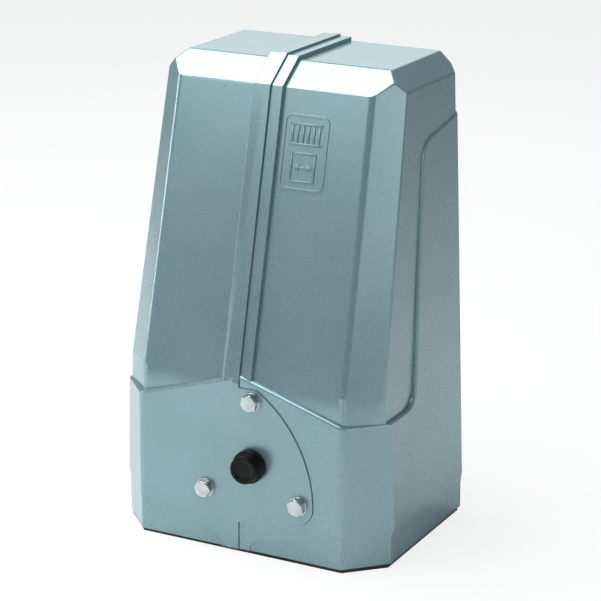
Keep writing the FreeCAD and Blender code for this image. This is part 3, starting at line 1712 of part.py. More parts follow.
draw_polygon(
    shaft_keyway,
    [
        (pinion_front + 1.9, mm.shaft_radius - 4.1),
        (pinion_back - 3.9, mm.shaft_radius - 4.1),
        (pinion_back - 3.9, mm.shaft_radius + 5),
        (pinion_front + 1.9, mm.shaft_radius + 5),
    ],
)
shaft_key_pocket = output_shaft.newObject("PartDesign::Pocket", "shaft_keyway_cut")
shaft_key_pocket.Profile = shaft_keyway
shaft_key_pocket.Midplane = True
bind(shaft_key_pocket, "Length", mm.key_width)
end_hole = body_sketch(output_shaft, "end_hole", "XZ", -(pinion_back - 2))
draw_circle(end_hole, 0, 0, 4.2)
end_pocket = output_shaft.newObject("PartDesign::Pocket", "end_hole_cut")
end_pocket.Profile = end_hole
end_pocket.Reversed = True
bind(end_pocket, "Length", 24)
finish("pinion_washer", ring("pinion_washer", "Y", 4.4, 17, pinion_back, pinion_back + 3, **shaft_line))
pinion_bolt = turned(
    "pinion_bolt",
    "Y",
    [
        (0, pinion_back - 22),
        (4.1, pinion_back - 22),
        (4.1, pinion_back + 3),
        (7.5, pinion_back + 3),
        (7.5, pinion_back + 7),
        (6.5, pinion_back + 8.3),
        (0, pinion_back + 8.3),
    ],
    **shaft_line,
)
finish("pinion_bolt", pinion_bolt)

# ---------------------------------------------------------------- worm line and motor

motor_shaft = mm.motor_shaft_radius
worm_middle = mm.shaft_height
lower_bearing = mm.tower_foot + 8
upper_bearing = mm.tower_top - 32
motor_top = mm.motor_foot + mm.motor_length
top_bearing = motor_top - 1
worm_root = mm.worm_pitch_radius - mm.gear_module * 1.2
half_worm = mm.worm_length / 2
shoulder = motor_shaft + 2
cowl_top = motor_top + 12 + mm.cowl_length
worm_shaft = turned(
    "worm_shaft",
    "Z",
    [
        (0, lower_bearing - 1 - worm_middle),
        (motor_shaft, lower_bearing - 1 - worm_middle),
        (motor_shaft, lower_bearing + mm.bearing_width - worm_middle),
        (shoulder, lower_bearing + mm.bearing_width - worm_middle),
        (shoulder, -half_worm - 2),
        (worm_root, -half_worm + 1),
        (worm_root, half_worm - 1),
        (shoulder, half_worm + 2),
        (shoulder, upper_bearing - worm_middle),
        (motor_shaft, upper_bearing - worm_middle),
        (motor_shaft, motor_top + 38 - worm_middle),
        (0, motor_top + 38 - worm_middle),
    ],
    worm_x,
    mm.wheel_y,
    worm_middle,
)
worm_pitch = mm.gear_module * round(math.pi, 6)
thread_half = (worm_pitch / 2 - mm.tooth_play) / 2
flank = round(math.tan(math.radians(20)), 6)
thread_start = -worm_pitch * 1.5
thread_root = worm_root - 0.3
thread_sketch = body_sketch(worm_shaft, "thread_outline", "XZ")
root_half = thread_half + (mm.worm_pitch_radius - thread_root) * flank
tip_half = thread_half - mm.gear_module * flank
worm_tip = mm.worm_pitch_radius + mm.gear_module
draw_polygon(
    thread_sketch,
    [
        (thread_root, thread_start - root_half),
        (worm_tip, thread_start - tip_half),
        (worm_tip, thread_start + tip_half),
        (thread_root, thread_start + root_half),
    ],
)
thread = worm_shaft.newObject("PartDesign::AdditiveHelix", "worm_thread")
thread.Profile = thread_sketch
thread.ReferenceAxis = (thread_sketch, ["V_Axis"])
thread.Mode = 0
bind(thread, "Pitch", worm_pitch)
bind(thread, "Height", worm_pitch * 3)
finish("worm_shaft", worm_shaft)

bearing_starts = (lower_bearing, upper_bearing, top_bearing)
outer_rings = []
inner_rings = []
width = mm.bearing_width
for i, start in enumerate(bearing_starts):
    outer_rings.append(
        ring(f"outer_ring_{i}", "Z", motor_shaft + 4.0, mm.bearing_radius, start, start + width, **tower)
    )
    inner_rings.append(
        ring(f"inner_ring_{i}", "Z", motor_shaft + 0.05, motor_shaft + 3.5, start, start + width, **tower)
    )
finish("bearing_outer_rings", group("outer_ring_set", outer_rings))
finish("bearing_inner_rings", group("inner_ring_set", inner_rings))
finish(
    "worm_seal",
    ring(
        "worm_seal",
        "Z",
        motor_shaft + 0.3,
        mm.bearing_radius,
        mm.tower_top - 14,
        mm.tower_top - 7,
        **tower,
    ),
)

housing_root = mm.motor_radius - 6
housing_bore = mm.motor_radius - 10
flange_low = mm.tower_top
motor_flange = turned(
    "motor_flange",
    "Z",
    [
        (motor_shaft + 1, flange_low),
        (mm.tower_flange_radius, flange_low),
        (mm.motor_radius, mm.motor_foot - 4),
        (mm.motor_radius, mm.motor_foot),
        (housing_bore - 0.2, mm.motor_foot),
        (housing_bore - 0.2, mm.motor_foot + 4),
        (housing_bore - 5, mm.motor_foot + 4),
        (housing_bore - 7, mm.motor_foot - 4),
        (motor_shaft + 1, mm.motor_foot - 4),
    ],
    **tower,
)
finish("motor_flange", motor_flange)
motor_housing = new_body("motor_housing", worm_x, mm.wheel_y, mm.motor_foot)
tube = body_sketch(motor_housing, "housing_tube", "XY")
draw_circle(tube, 0, 0, housing_root)
draw_circle(tube, 0, 0, housing_bore)
pad(motor_housing, "housing_wall", tube, mm.motor_length)
fin_outline = body_sketch(motor_housing, "fin_outline", "XY")
draw_polygon(
    fin_outline,
    [
        (housing_root - 0.5, -1.3),
        (mm.motor_radius, -0.8),
        (mm.motor_radius, 0.8),
        (housing_root - 0.5, 1.3),
    ],
)
fin = pad(motor_housing, "housing_fin", fin_outline, mm.motor_length)
polar(motor_housing, "housing_fins", fin, "Z_Axis", mm.motor_fins)
finish("motor_housing", motor_housing)

stack_low = mm.motor_foot + 38
stack_high = motor_top - 38
stator_bore = mm.rotor_radius + mm.air_gap
finish(
    "stator_core",
    ring("stator_core", "Z", stator_bore, housing_bore - 0.1, stack_low, stack_high, **tower),
)
coils = []
for i, (low, high) in enumerate(((stack_low - 22, stack_low), (stack_high, stack_high + 22))):
    coils.append(ring(f"coil_{i}", "Z", stator_bore + 3, housing_bore - 2, low, high, **tower))
finish("stator_windings", group("winding_set", coils))
finish(
    "rotor_core",
    ring("rotor_core", "Z", motor_shaft + 0.05, mm.rotor_radius, stack_low - 3, stack_high + 3, **tower),
)
end_shield = turned(
    "motor_end_shield",
    "Z",
    [
        (motor_shaft + 1, motor_top + 12),
        (mm.bearing_radius + 4, motor_top + 12),
        (mm.bearing_radius + 7, motor_top + 5),
        (mm.motor_radius, motor_top + 5),
        (mm.motor_radius, motor_top),
        (housing_bore - 0.2, motor_top),
        (housing_bore - 0.2, motor_top - 4),
        (mm.bearing_radius + 0.1, motor_top - 4),
        (mm.bearing_radius + 0.1, motor_top + 11.2),
        (motor_shaft + 1, motor_top + 11.2),
    ],
    **tower,
)
finish("motor_end_shield", end_shield)
fan_foot = motor_top + 15
fan = new_body("fan", worm_x, mm.wheel_y, fan_foot)
fan_profile = body_sketch(fan, "fan_profile", "XZ")
draw_polygon(
    fan_profile,
    [
        (motor_shaft + 0.05, 0),
        (mm.motor_radius - 12, 0),
        (mm.motor_radius - 12, 2),
        (14, 2),
        (14, 20),
        (motor_shaft + 0.05, 20),
    ],
)
revolve(fan, "fan_disc", fan_profile)
blade_outline = body_sketch(fan, "blade_outline", "XY")
draw_polygon(blade_outline, [(13, -1), (mm.motor_radius - 12, -1), (mm.motor_radius - 12, 1), (13, 1)])
blade = pad(fan, "fan_blade", blade_outline, 18)
polar(fan, "fan_blades", blade, "Z_Axis", 8)
finish("fan", fan)
cowl = new_body("fan_cowl", worm_x, mm.wheel_y, motor_top)
cowl_profile = body_sketch(cowl, "cowl_profile", "XZ")
cowl_rise = mm.cowl_length + 12
draw_polygon(
    cowl_profile,
    [
        (mm.motor_radius - 1.7, 5),
        (mm.motor_radius - 0.2, 5),
        (mm.motor_radius - 0.2, cowl_rise - 8),
        (mm.motor_radius - 8, cowl_rise),
        (0, cowl_rise),
        (0, cowl_rise - 1.5),
        (mm.motor_radius - 8.7, cowl_rise - 1.5),
        (mm.motor_radius - 1.7, cowl_rise - 8.5),
    ],
)
revolve(cowl, "cowl_cup", cowl_profile)
vent_outline = body_sketch(cowl, "vent_outline", "XY", cowl_rise + 1)
draw_polygon(vent_outline, [(14, -2), (mm.motor_radius - 18, -4), (mm.motor_radius - 18, 4), (14, 2)])
vent = cowl.newObject("PartDesign::Pocket", "cowl_vent")
vent.Profile = vent_outline
bind(vent, "Length", 5)
polar(cowl, "cowl_vents", vent, "Z_Axis", 12)
finish("fan_cowl", cowl)

# ---------------------------------------------------------------- electrics

sheet = mm.sheet_thickness
bracket_form = fuse(
    "bracket_form",
    box("bracket_web", (bracket_x - sheet, bracket_x), (-32, bracket_back), (foot, mm.bracket_height)),
    box(
        "bracket_foot",
        (bracket_x - mm.bracket_foot, bracket_x),
        (-32, bracket_back),
        (foot, foot + sheet),
    ),
    box(
        "bracket_lip",
        (bracket_x - sheet, bracket_x + 8),
        (bracket_back - sheet, bracket_back),
        (foot + 20, mm.bracket_height),
    ),
)
bracket_cuts = [
    cylinder(f"bracket_hole_{i}", "Z", 2.3, foot - 1, foot + sheet + 1, x=x, y=y)
    for i, (x, y) in enumerate(bracket_screw_spots)
]
bracket_cuts.append(
    box("bracket_window", (bracket_x - sheet - 1, bracket_x + 1), (-10, bracket_back - 22), (40, 110))
)
finish("board_bracket", cut("board_bracket", bracket_form, *bracket_cuts))
board_low = mm.bracket_height - mm.board_length - 12
board_y = (-22, mm.board_width - 22)
board_face = bracket_x + mm.board_standoff
board_spots = [
    (y, z)
    for y in (board_y[0] + 5, board_y[1] - 5) for z in (board_low + 5, board_low + mm.board_length - 5)
]
finish(
    "board_standoffs",
    group(
        "standoff_set",
        [
            cylinder(f"standoff_{i}", "X", 3, bracket_x, board_face, y=y, z=z)
            for i, (y, z) in enumerate(board_spots)
        ],
    ),
)
finish(
    "control_board",
    box("control_board", (board_face, board_face + 1.6), board_y, (board_low, board_low + mm.board_length)),
)
chips_face = board_face + 1.6


def on_board(name, y, z, wide, high, deep):
    """A box-shaped component on the board, from its lower corner."""
    return box(
        name,
        (chips_face, chips_face + deep),
        (board_y[0] + y, board_y[0] + y + wide),
        (board_low + z, board_low + z + high),
    )


relays = [on_board(f"relay_{i}", 8 + 22 * i, 112, 18, 24, 16) for i in range(4)]
chips = [
    on_board("processor", 40, 62, 22, 22, 2.5),
    on_board("receiver", 8, 84, 34, 14, 8),
    on_board("fuse_holder", 70, 66, 12, 30, 12),
]
caps = [
    cylinder(
        f"board_capacitor_{i}",
        "X",
        7,
        chips_face,
        chips_face + 20,
        y=board_y[0] + 18 + i * 17,
        z=board_low + 48,
    )
    for i in range(2)
]
finish("board_components", group("component_set", relays + chips + caps))
finish(
    "terminal_blocks",
    group(
        "terminal_set",
        [on_board("terminal_row", 6, 6, 88, 13, 13), on_board("display_row", 62, 40, 26, 14, 5)],
    ),
)
core_low = mm.core_foot
core_high = core_low + mm.core_height
core_y = (2, mm.core_depth + 2)
core = box("core_block", (bracket_x, bracket_x + mm.core_thickness), core_y, (core_low, core_high))
window_y = (core_y[0] + mm.core_leg, core_y[1] - mm.core_leg)
window_z = (core_low + mm.core_leg + 1, core_high - mm.core_leg - 1)
core_window = box("core_window", (bracket_x - 1, bracket_x + mm.core_thickness + 1), window_y, window_z)
finish("transformer_core", cut("transformer_core", core, core_window))
coil_x = (bracket_x, bracket_x + mm.core_thickness + 8)
coil_y = (window_y[0] + mm.seat_gap, window_y[1] - mm.seat_gap)
coil_z = (window_z[0] + mm.seat_gap, window_z[1] - mm.seat_gap)
finish("transformer_coil", box("transformer_coil", coil_x, coil_y, coil_z))
capacitor = {"x": bracket_x - sheet - mm.capacitor_radius - 3, "y": mm.capacitor_y}
capacitor_top = mm.capacitor_foot + mm.capacitor_length
finish(
    "motor_capacitor",
    cylinder("motor_capacitor", "Z", mm.capacitor_radius, mm.capacitor_foot, capacitor_top, **capacitor),
)
clip_low = mm.capacitor_foot + mm.clip_height
clip_high = clip_low + mm.clip_width
clip = cut(
    "capacitor_clip",
    fuse(
        "clip_form",
        cylinder("clip_round", "Z", mm.capacitor_radius + 2, clip_low, clip_high, **capacitor),
        box(
            "clip_foot",
            (capacitor["x"], bracket_x - sheet),
            (mm.capacitor_y - 6, mm.capacitor_y + 6),
            (clip_low, clip_high),
        ),
    ),
    cylinder("clip_bore", "Z", mm.capacitor_radius + 0.2, clip_low - 1, clip_high + 1, **capacitor),
)
finish("capacitor_clip", clip)
grommet = cut(
    "cable_grommet",
    fuse(
        "grommet_form",
        box(
            "grommet_neck",
            (cable_x[0] + 0.2, cable_x[1] - 0.2),
            (cable_y[0] + 0.2, cable_y[1] - 0.2),
            (1, foot + 5),
        ),
        box(
            "grommet_rim",
            (cable_x[0] - mm.grommet_rim, cable_x[1] + mm.grommet_rim),
            (cable_y[0] - mm.grommet_rim, cable_y[1] + mm.grommet_rim),
            (foot, foot + 3),
        ),
    ),
    box("grommet_hole", (cable_x[0] + 4, cable_x[1] - 4), (cable_y[0] + 4, cable_y[1] - 4), (-2, foot + 6)),
)
finish("cable_grommet", grommet)
finish(
    "bracket_screws",
    down_screws("bracket_screw", bracket_screw_spots, 2.1, sheet + 2, 4, 3, foot + sheet),
)

# ---------------------------------------------------------------- limit switch

lever_x = mm.lever_x
lever_z = mm.lever_height
box_x = (lever_x - 22, lever_x + 22)
box_y = (back_inside - 24, back_inside)
box_z = (lever_z - 20, lever_z + 20)
switch_form = fuse(
    "switch_form",
    box("switch_block", box_x, box_y, box_z),
    cylinder(
        "lever_bush",
        "Y",
        mm.lever_bush_radius,
        back_inside - 2,
        half_depth + 4,
        x=lever_x,
        z=lever_z,
    ),
)
switch_room = box(
    "switch_room",
    (box_x[0] + 2, box_x[1] - 2),
    (box_y[0] - 1, box_y[1] - 2.5),
    (box_z[0] + 2, box_z[1] - 2),
)
lever_shaft = mm.lever_shaft_radius
lever_bore = cylinder(
    "lever_bore",
    "Y",
    lever_shaft + mm.running_gap,
    box_y[0],
    half_depth + 6,
    x=lever_x,
    z=lever_z,
)
finish(
    "limit_switch_case",
    cut("limit_switch_case", switch_form, fuse("switch_cuts", switch_room, lever_bore)),
)
switches = [
    box(
        f"micro_switch_{i}",
        (lever_x + 9 if i else box_x[0] + 2, box_x[1] - 2 if i else lever_x - 9),
        (box_y[0] + 4, box_y[1] - 3),
        (box_z[0] + 2, lever_z + 8),
    )
    for i in range(2)
]
finish("micro_switches", group("micro_switch_set", switches))
arm_y = half_depth + 4.5
lever_form = fuse(
    "lever_form",
    cylinder("lever_round", "Y", lever_shaft, box_y[0] + 4, arm_y + 6, x=lever_x, z=lever_z),
    cylinder("lever_boss", "Y", 8, arm_y, arm_y + 6, x=lever_x, z=lever_z),
    box(
        "lever_arm",
        (lever_x - 3, lever_x + 3),
        (arm_y + 1, arm_y + 5),
        (lever_z, lever_z + mm.lever_length),
    ),
    cylinder("roller_pin", "Y", 2.5, arm_y + 1, arm_y + 14, x=lever_x, z=lever_z + mm.lever_length),
)
finish("limit_lever", lever_form)
cam = fuse(
    "cam_form",
    cylinder("cam_hub", "Y", 6, box_y[0] + 5, box_y[0] + 15, x=lever_x, z=lever_z),
    box("cam_finger", (lever_x - 2, lever_x + 2), (box_y[0] + 5, box_y[0] + 15), (lever_z - 8, lever_z)),
)
cam_bore = cylinder("cam_bore", "Y", lever_shaft + 0.05, box_y[0] + 4, box_y[0] + 16, x=lever_x, z=lever_z)
finish("limit_cam", cut("limit_cam", cam, cam_bore))
roller = ring(
    "lever_roller",
    "Y",
    2.5 + mm.running_gap,
    7,
    arm_y + 5.4,
    arm_y + 13.4,
    lever_x,
    0,
    lever_z + mm.lever_length,
)
finish("lever_roller", roller)

doc.recompute()
for thing in doc.Objects:
    if "Invalid" in thing.State or "Error" in thing.State:
        raise ValueError(f"{thing.Name} did not recompute")
for thing in finished:
    if thing.Shape.isNull() or not thing.Shape.isValid():
        raise ValueError(f"{thing.Label} has no valid shape")
os.makedirs("parts", exist_ok=True)
for thing in finished:
    thing.Shape.exportStep(f"parts/{thing.Label}.step")
print(len(finished), "sub-parts written")
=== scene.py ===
# %% [markdown]
# # A sliding gate motor, dressed for a studio picture
# The construction model holds every piece of the motor at its true place and size.
# This lesson loads it as a fixed frame, gives each piece its real finish, and remodels
# the pieces whose rolled edges, turned grips and small reliefs the eye looks for first.

# %% Load the construction model
import json
import math
import bpy
from mathutils import Matrix, Vector


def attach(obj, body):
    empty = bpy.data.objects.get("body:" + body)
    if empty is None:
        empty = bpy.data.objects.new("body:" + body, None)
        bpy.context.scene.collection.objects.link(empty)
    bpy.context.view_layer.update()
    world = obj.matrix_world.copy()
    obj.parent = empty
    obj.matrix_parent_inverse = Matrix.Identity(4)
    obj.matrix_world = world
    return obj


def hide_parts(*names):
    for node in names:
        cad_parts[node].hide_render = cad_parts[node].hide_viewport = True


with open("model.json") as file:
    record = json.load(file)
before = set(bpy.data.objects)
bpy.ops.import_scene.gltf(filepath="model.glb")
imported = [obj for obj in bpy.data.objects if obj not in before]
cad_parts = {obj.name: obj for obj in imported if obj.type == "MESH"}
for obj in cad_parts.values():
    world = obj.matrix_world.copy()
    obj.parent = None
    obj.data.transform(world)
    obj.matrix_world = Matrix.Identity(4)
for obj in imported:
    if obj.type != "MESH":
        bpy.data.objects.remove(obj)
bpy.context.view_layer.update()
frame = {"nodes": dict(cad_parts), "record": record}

mm = 0.001

# %% [markdown]
# ## The camera
# A long lens from the right of the front, a little above the top of the motor, keeps
# the upright edges nearly parallel. The camera stands on a line from a point on the
# motor's own axis, so azimuth, elevation and distance are all it needs.

# %% Set up the camera
azimuth = math.radians(27.42)
elevation = math.radians(17.35)
camera_roll = math.radians(0.52)
camera_distance = 2386.96 * mm
aim_side = 10.64 * mm
aim_height = 242.81 * mm

away = Vector((math.sin(azimuth) * math.cos(elevation),
               -math.cos(azimuth) * math.cos(elevation),
               math.sin(elevation)))
level = Vector((math.cos(azimuth), math.sin(azimuth), 0.0))
upright = away.cross(level)
right = level * math.cos(camera_roll) + upright * math.sin(camera_roll)
above = away.cross(right)
aim = Vector((aim_side * math.cos(azimuth), aim_side * math.sin(azimuth), aim_height))
lens = bpy.data.cameras.new("studio_camera")
lens.lens = 137.16
lens.sensor_width = 36.0
lens.clip_start = 0.05
lens.clip_end = 50.0
camera = bpy.data.objects.new("studio_camera", lens)
bpy.context.scene.collection.objects.link(camera)
turn = Matrix((right, above, away)).transposed().to_4x4()
camera.matrix_world = Matrix.Translation(aim + away * camera_distance) @ turn
bpy.context.scene.camera = camera
print("camera at", [round(value, 3) for value in camera.matrix_world.translation])

# %% [markdown]
# ## Helpers for edit mode
# An operator works on all that is selected, so each step starts from a clean
# selection, and edges are then picked in code by how sharp they are and where they lie.


# %% Selection and edit-mode helpers
def only(piece):
    """Selects one object alone and makes it active."""
    bpy.ops.object.select_all(action="DESELECT")
    piece.select_set(True)
    bpy.context.view_layer.objects.active = piece


def pick_sharp(piece, angle, wanted):
    """In edit mode, selects the edges sharper than an angle that a test wants.

    The first pass finds the sharp edges. All is then deselected, since a face that
    stayed selected would bring all its edges back."""
    bpy.ops.mesh.select_mode(type="EDGE")
    bpy.ops.mesh.select_all(action="DESELECT")
    bpy.ops.mesh.edges_select_sharp(sharpness=math.radians(angle))
    bpy.ops.object.mode_set(mode="OBJECT")
    sharp = {edge.index for edge in piece.data.edges if edge.select}
    bpy.ops.object.mode_set(mode="EDIT")
    bpy.ops.mesh.select_all(action="DESELECT")
    bpy.ops.object.mode_set(mode="OBJECT")
    mesh = piece.data
    count = 0
    for index in sharp:
        edge = mesh.edges[index]
        first = mesh.vertices[edge.vertices[0]].co
        last = mesh.vertices[edge.vertices[1]].co
        edge.select = wanted((first + last) / 2, (first - last).length)
        count += edge.select
    bpy.ops.object.mode_set(mode="EDIT")
    return count


def modify(piece, kind, **settings):
    """Adds a modifier, sets it and applies it."""
    only(piece)
    modifier = piece.modifiers.new(kind.lower(), kind)
    for name, value in settings.items():
        setattr(modifier, name, value)
    bpy.ops.object.modifier_apply(modifier=modifier.name)


def settle(piece):
    """Puts the object at the origin, with its place in its mesh."""
    only(piece)
    bpy.ops.object.transform_apply(location=True, rotation=True, scale=True)


print("helpers ready")

# %% [markdown]
# ## Helpers for materials
# Every material reads Object coordinates, in metres, so a pattern has the same real
# scale on a small screw and on a whole cover. A group gives patterns only, and each
# material keeps its own shader.


# %% Node helpers
def add(tree, kind, sockets=(), **settings):
    """Adds a shader node, with settings by name and socket values in a dictionary."""
    made = tree.nodes.new("ShaderNode" + kind)
    for name, value in settings.items():
        setattr(made, name, value)
    for name, value in dict(sockets).items():
        made.inputs[name].default_value = value
    return made


def wire(tree, *pairs):
    """Links outputs to inputs."""
    for source, target in pairs:
        tree.links.new(source, target)


def new_group(name, inputs, outputs):
    """Starts a node group with named sockets, each given as name: (type, value)."""
    group = bpy.data.node_groups.new(name, "ShaderNodeTree")
    for label, (kind, value) in inputs.items():
        socket = group.interface.new_socket(label, in_out="INPUT", socket_type=kind)
        if value is not None:
            socket.default_value = value
    for label, kind in outputs.items():
        group.interface.new_socket(label, in_out="OUTPUT", socket_type=kind)
    return group, group.nodes.new("NodeGroupInput"), group.nodes.new("NodeGroupOutput")


VECTOR = "NodeSocketVector"
FLOAT = "NodeSocketFloat"
COLOR = "NodeSocketColor"
print("node helpers ready")

# %% [markdown]
# ## Shared surface effects
# Paint, castings and mouldings differ in scale and depth, but share two effects: a
# fine grain that breaks up the highlight, and slow clouds that vary the tone. Both are
# built once, as a group that every material places with its own values. Turned and
# ground metal has the same grain, drawn out along one direction by its mapping.

# %% Grain and clouds
grain, grain_in, grain_out = new_group(
    "grain_and_clouds",
    {"Place": (VECTOR, None), "Grain": (FLOAT, 900.0), "Clouds": (FLOAT, 9.0),
     "Dark": (COLOR, (0.3, 0.3, 0.3, 1.0)), "Light": (COLOR, (0.4, 0.4, 0.4, 1.0)),
     "Smoothest": (FLOAT, 0.3), "Roughest": (FLOAT, 0.45)},
    {"Color": COLOR, "Roughness": FLOAT, "Height": FLOAT})
fine = add(grain, "TexNoise", {"Detail": 3.0, "Roughness": 0.55})
slow = add(grain, "TexNoise", {"Detail": 2.0, "Roughness": 0.5})
spread = add(grain, "MapRange", {"From Min": 0.3, "From Max": 0.7})
tint = add(grain, "Mix", data_type="RGBA")
gloss = add(grain, "MapRange", {"From Min": 0.3, "From Max": 0.7})
wire(grain,
     (grain_in.outputs["Place"], fine.inputs["Vector"]),
     (grain_in.outputs["Grain"], fine.inputs["Scale"]),
     (grain_in.outputs["Place"], slow.inputs["Vector"]),
     (grain_in.outputs["Clouds"], slow.inputs["Scale"]),
     (slow.outputs["Fac"], spread.inputs["Value"]),
     (spread.outputs["Result"], tint.inputs["Factor"]),
     (grain_in.outputs["Dark"], tint.inputs["A"]),
     (grain_in.outputs["Light"], tint.inputs["B"]),
     (fine.outputs["Fac"], gloss.inputs["Value"]),
     (grain_in.outputs["Smoothest"], gloss.inputs["To Min"]),
     (grain_in.outputs["Roughest"], gloss.inputs["To Max"]),
     (tint.outputs["Result"], grain_out.inputs["Color"]),
     (gloss.outputs["Result"], grain_out.inputs["Roughness"]),
     (fine.outputs["Fac"], grain_out.inputs["Height"]))
print("group", grain.name, "has", len(grain.nodes), "nodes")


# %% A material from the shared group
def finish_of(name, dark, light, metallic, smoothest, roughest, grain_size, cloud_size,
              bump, stretch=(1.0, 1.0, 1.0), coat=0.0, specular=0.5):
    """A surface of one substance; sizes are in metres and bump is the relief's height."""
    material = bpy.data.materials.new(name)
    material.use_nodes = True
    tree = material.node_tree
    shader = tree.nodes["Principled BSDF"]
    shader.inputs["Metallic"].default_value = metallic
    shader.inputs["Coat Weight"].default_value = coat
    shader.inputs["Coat Roughness"].default_value = 0.12
    shader.inputs["Specular IOR Level"].default_value = specular
    place = add(tree, "TexCoord")
    mapping = add(tree, "Mapping", {"Scale": stretch})
    surface = add(tree, "Group", node_tree=grain)
    surface.inputs["Grain"].default_value = 1.0 / grain_size
    surface.inputs["Clouds"].default_value = 1.0 / cloud_size
    surface.inputs["Dark"].default_value = (*dark, 1.0)
    surface.inputs["Light"].default_value = (*light, 1.0)
    surface.inputs["Smoothest"].default_value = smoothest
    surface.inputs["Roughest"].default_value = roughest
    relief = add(tree, "Bump", {"Distance": bump, "Strength": 0.6})
    wire(tree,
         (place.outputs["Object"], mapping.inputs["Vector"]),
         (mapping.outputs["Vector"], surface.inputs["Place"]),
         (surface.outputs["Color"], shader.inputs["Base Color"]),
         (surface.outputs["Roughness"], shader.inputs["Roughness"]),
         (surface.outputs["Height"], relief.inputs["Height"]),
         (relief.outputs["Normal"], shader.inputs["Normal"]))
    return material


# Each row: the two tones that the clouds mix, metallic, the roughness range, the sizes
# of grain and clouds, the height of the relief, and what else the surface needs.
surfaces = {
    "silver_paint": (
        (0.195, 0.320, 0.340), (0.225, 0.345, 0.375), 0.55, 0.25, 0.29,
        0.6 * mm, 90 * mm, 0.001 * mm, {"coat": 0.25}),
    "zinc_steel": (
        (0.40, 0.44, 0.46), (0.54, 0.58, 0.60), 1.0, 0.16, 0.26,
        3.0 * mm, 9 * mm, 0.01 * mm, {}),
    "cast_iron": (
        (0.09, 0.095, 0.10), (0.15, 0.155, 0.16), 0.6, 0.50, 0.70,
        1.2 * mm, 20 * mm, 0.25 * mm, {}),
    "cast_aluminium": (
        (0.50, 0.51, 0.52), (0.62, 0.63, 0.64), 0.9, 0.34, 0.50,
        1.0 * mm, 25 * mm, 0.10 * mm, {}),
    "steel": (
        (0.46, 0.46, 0.47), (0.60, 0.60, 0.61), 1.0, 0.20, 0.36,
        1.2 * mm, 8 * mm, 0.02 * mm, {"stretch": (1.0, 0.08, 1.0)}),
    "bronze": (
        (0.50, 0.32, 0.12), (0.66, 0.45, 0.20), 1.0, 0.24, 0.40,
        1.0 * mm, 9 * mm, 0.02 * mm, {"stretch": (1.0, 0.1, 1.0)}),
    "copper": (
        (0.42, 0.16, 0.06), (0.62, 0.27, 0.12), 0.9, 0.22, 0.34,
        0.9 * mm, 5 * mm, 0.30 * mm, {"stretch": (0.15, 0.15, 1.0)}),
    "laminations": (
        (0.20, 0.20, 0.21), (0.36, 0.36, 0.37), 0.8, 0.30, 0.45,
        0.8 * mm, 3 * mm, 0.08 * mm, {"stretch": (0.05, 0.05, 1.0)}),
    "black_plastic": (
        (0.0022, 0.0023, 0.0024), (0.0036, 0.0037, 0.0038), 0.0, 0.20, 0.28,
        0.7 * mm, 12 * mm, 0.002 * mm, {"specular": 0.16}),
    "black_rubber": (
        (0.018, 0.018, 0.018), (0.030, 0.030, 0.030), 0.0, 0.62, 0.80,
        0.5 * mm, 10 * mm, 0.04 * mm, {"specular": 0.35}),
    "board_green": (
        (0.010, 0.090, 0.040), (0.020, 0.150, 0.070), 0.0, 0.22, 0.30,
        3.0 * mm, 4 * mm, 0.05 * mm, {"coat": 0.3}),
    "green_plastic": (
        (0.02, 0.22, 0.09), (0.03, 0.28, 0.12), 0.0, 0.34, 0.46,
        0.7 * mm, 8 * mm, 0.02 * mm, {}),
    "white_plastic": (
        (0.70, 0.70, 0.67), (0.78, 0.78, 0.75), 0.0, 0.30, 0.42,
        0.7 * mm, 12 * mm, 0.02 * mm, {}),
    # Darker zinc for the base plate: black plating, darkened further as painted shade for
    # the gap under the castings.
    "dark_zinc_and_shade": (
        (0.020, 0.024, 0.024), (0.045, 0.050, 0.048), 0.5, 0.40, 0.55,
        1.0 * mm, 14 * mm, 0.03 * mm, {"specular": 0.3}),
}
finishes = {name: finish_of(name, *values[:-1], **values[-1])
            for name, values in surfaces.items()}
print("finishes:", ", ".join(finishes))

# %% Give every piece the finish that the record names
# The base plate shows only as a thin edge in the castings' shade. Its darker zinc is black
# plating, and it also paints in the shade of the gap under the castings.
for subpart in frame["record"]["subparts"]:
    node = frame["nodes"][subpart["node"]]
    node.data.materials.clear()
    node.data.materials.append(finishes[subpart["material_slot"]])
frame["nodes"]["base_plate"].data.materials[0] = finishes["dark_zinc_and_shade"]

# %% [markdown]
# ## The two housing halves
# A die casting has no knife edges: the tool leaves a small radius on every corner,
# and that radius is what draws the bright lines along this cover. The construction
# model's halves have the right planes, so each one is copied, its triangles are
# merged into clean faces, and a bevel rolls its edges.


# %% Merge a copy of each half
def merged_copy(node_name, piece_name):
    """A copy of a construction piece with its triangles merged into clean faces."""
    source = frame["nodes"][node_name]
    piece = source.copy()
    piece.data = source.data.copy()
    piece.name = piece_name
    bpy.context.scene.collection.objects.link(piece)
    piece.parent = None
    only(piece)
    bpy.ops.object.mode_set(mode="EDIT")
    bpy.ops.mesh.select_all(action="SELECT")
    bpy.ops.mesh.remove_doubles(threshold=0.002 * mm)
    bpy.ops.mesh.dissolve_limited(angle_limit=math.radians(0.3))
    bpy.ops.object.mode_set(mode="OBJECT")
    bpy.ops.mesh.customdata_custom_splitnormals_clear()
    bpy.ops.object.shade_smooth()
    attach(piece, "housing")
    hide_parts(node_name)
    return piece


left_half = merged_copy("left_shell", "left_half")
right_half = merged_copy("right_shell", "right_half")
print("left half:", len(left_half.data.polygons), "faces; right half:",
      len(right_half.data.polygons), "faces")

# %% [markdown]
# ## Rolled edges
# The large planes of the casting meet in wide, soft radii, the seam band's outer edge
# in a tighter one, and every other step in a fine one. So the bevel is done in three
# passes, the widest first.


# %% Landmarks of the casting
# The upper panels lean back from their foot to the shoulder, and the shoulder slopes
# on to the roof. The wings stand out at the sides, and the badge on the right panel.
panel_foot_y, panel_foot_z = -105 * mm, 186 * mm
panel_slope = 0.2257
shoulder_y, shoulder_z = -39.1 * mm, 478 * mm
shoulder_slope = 0.707
roof_z = 500 * mm
band_left = -20 * mm
shortest_edge = 9 * mm


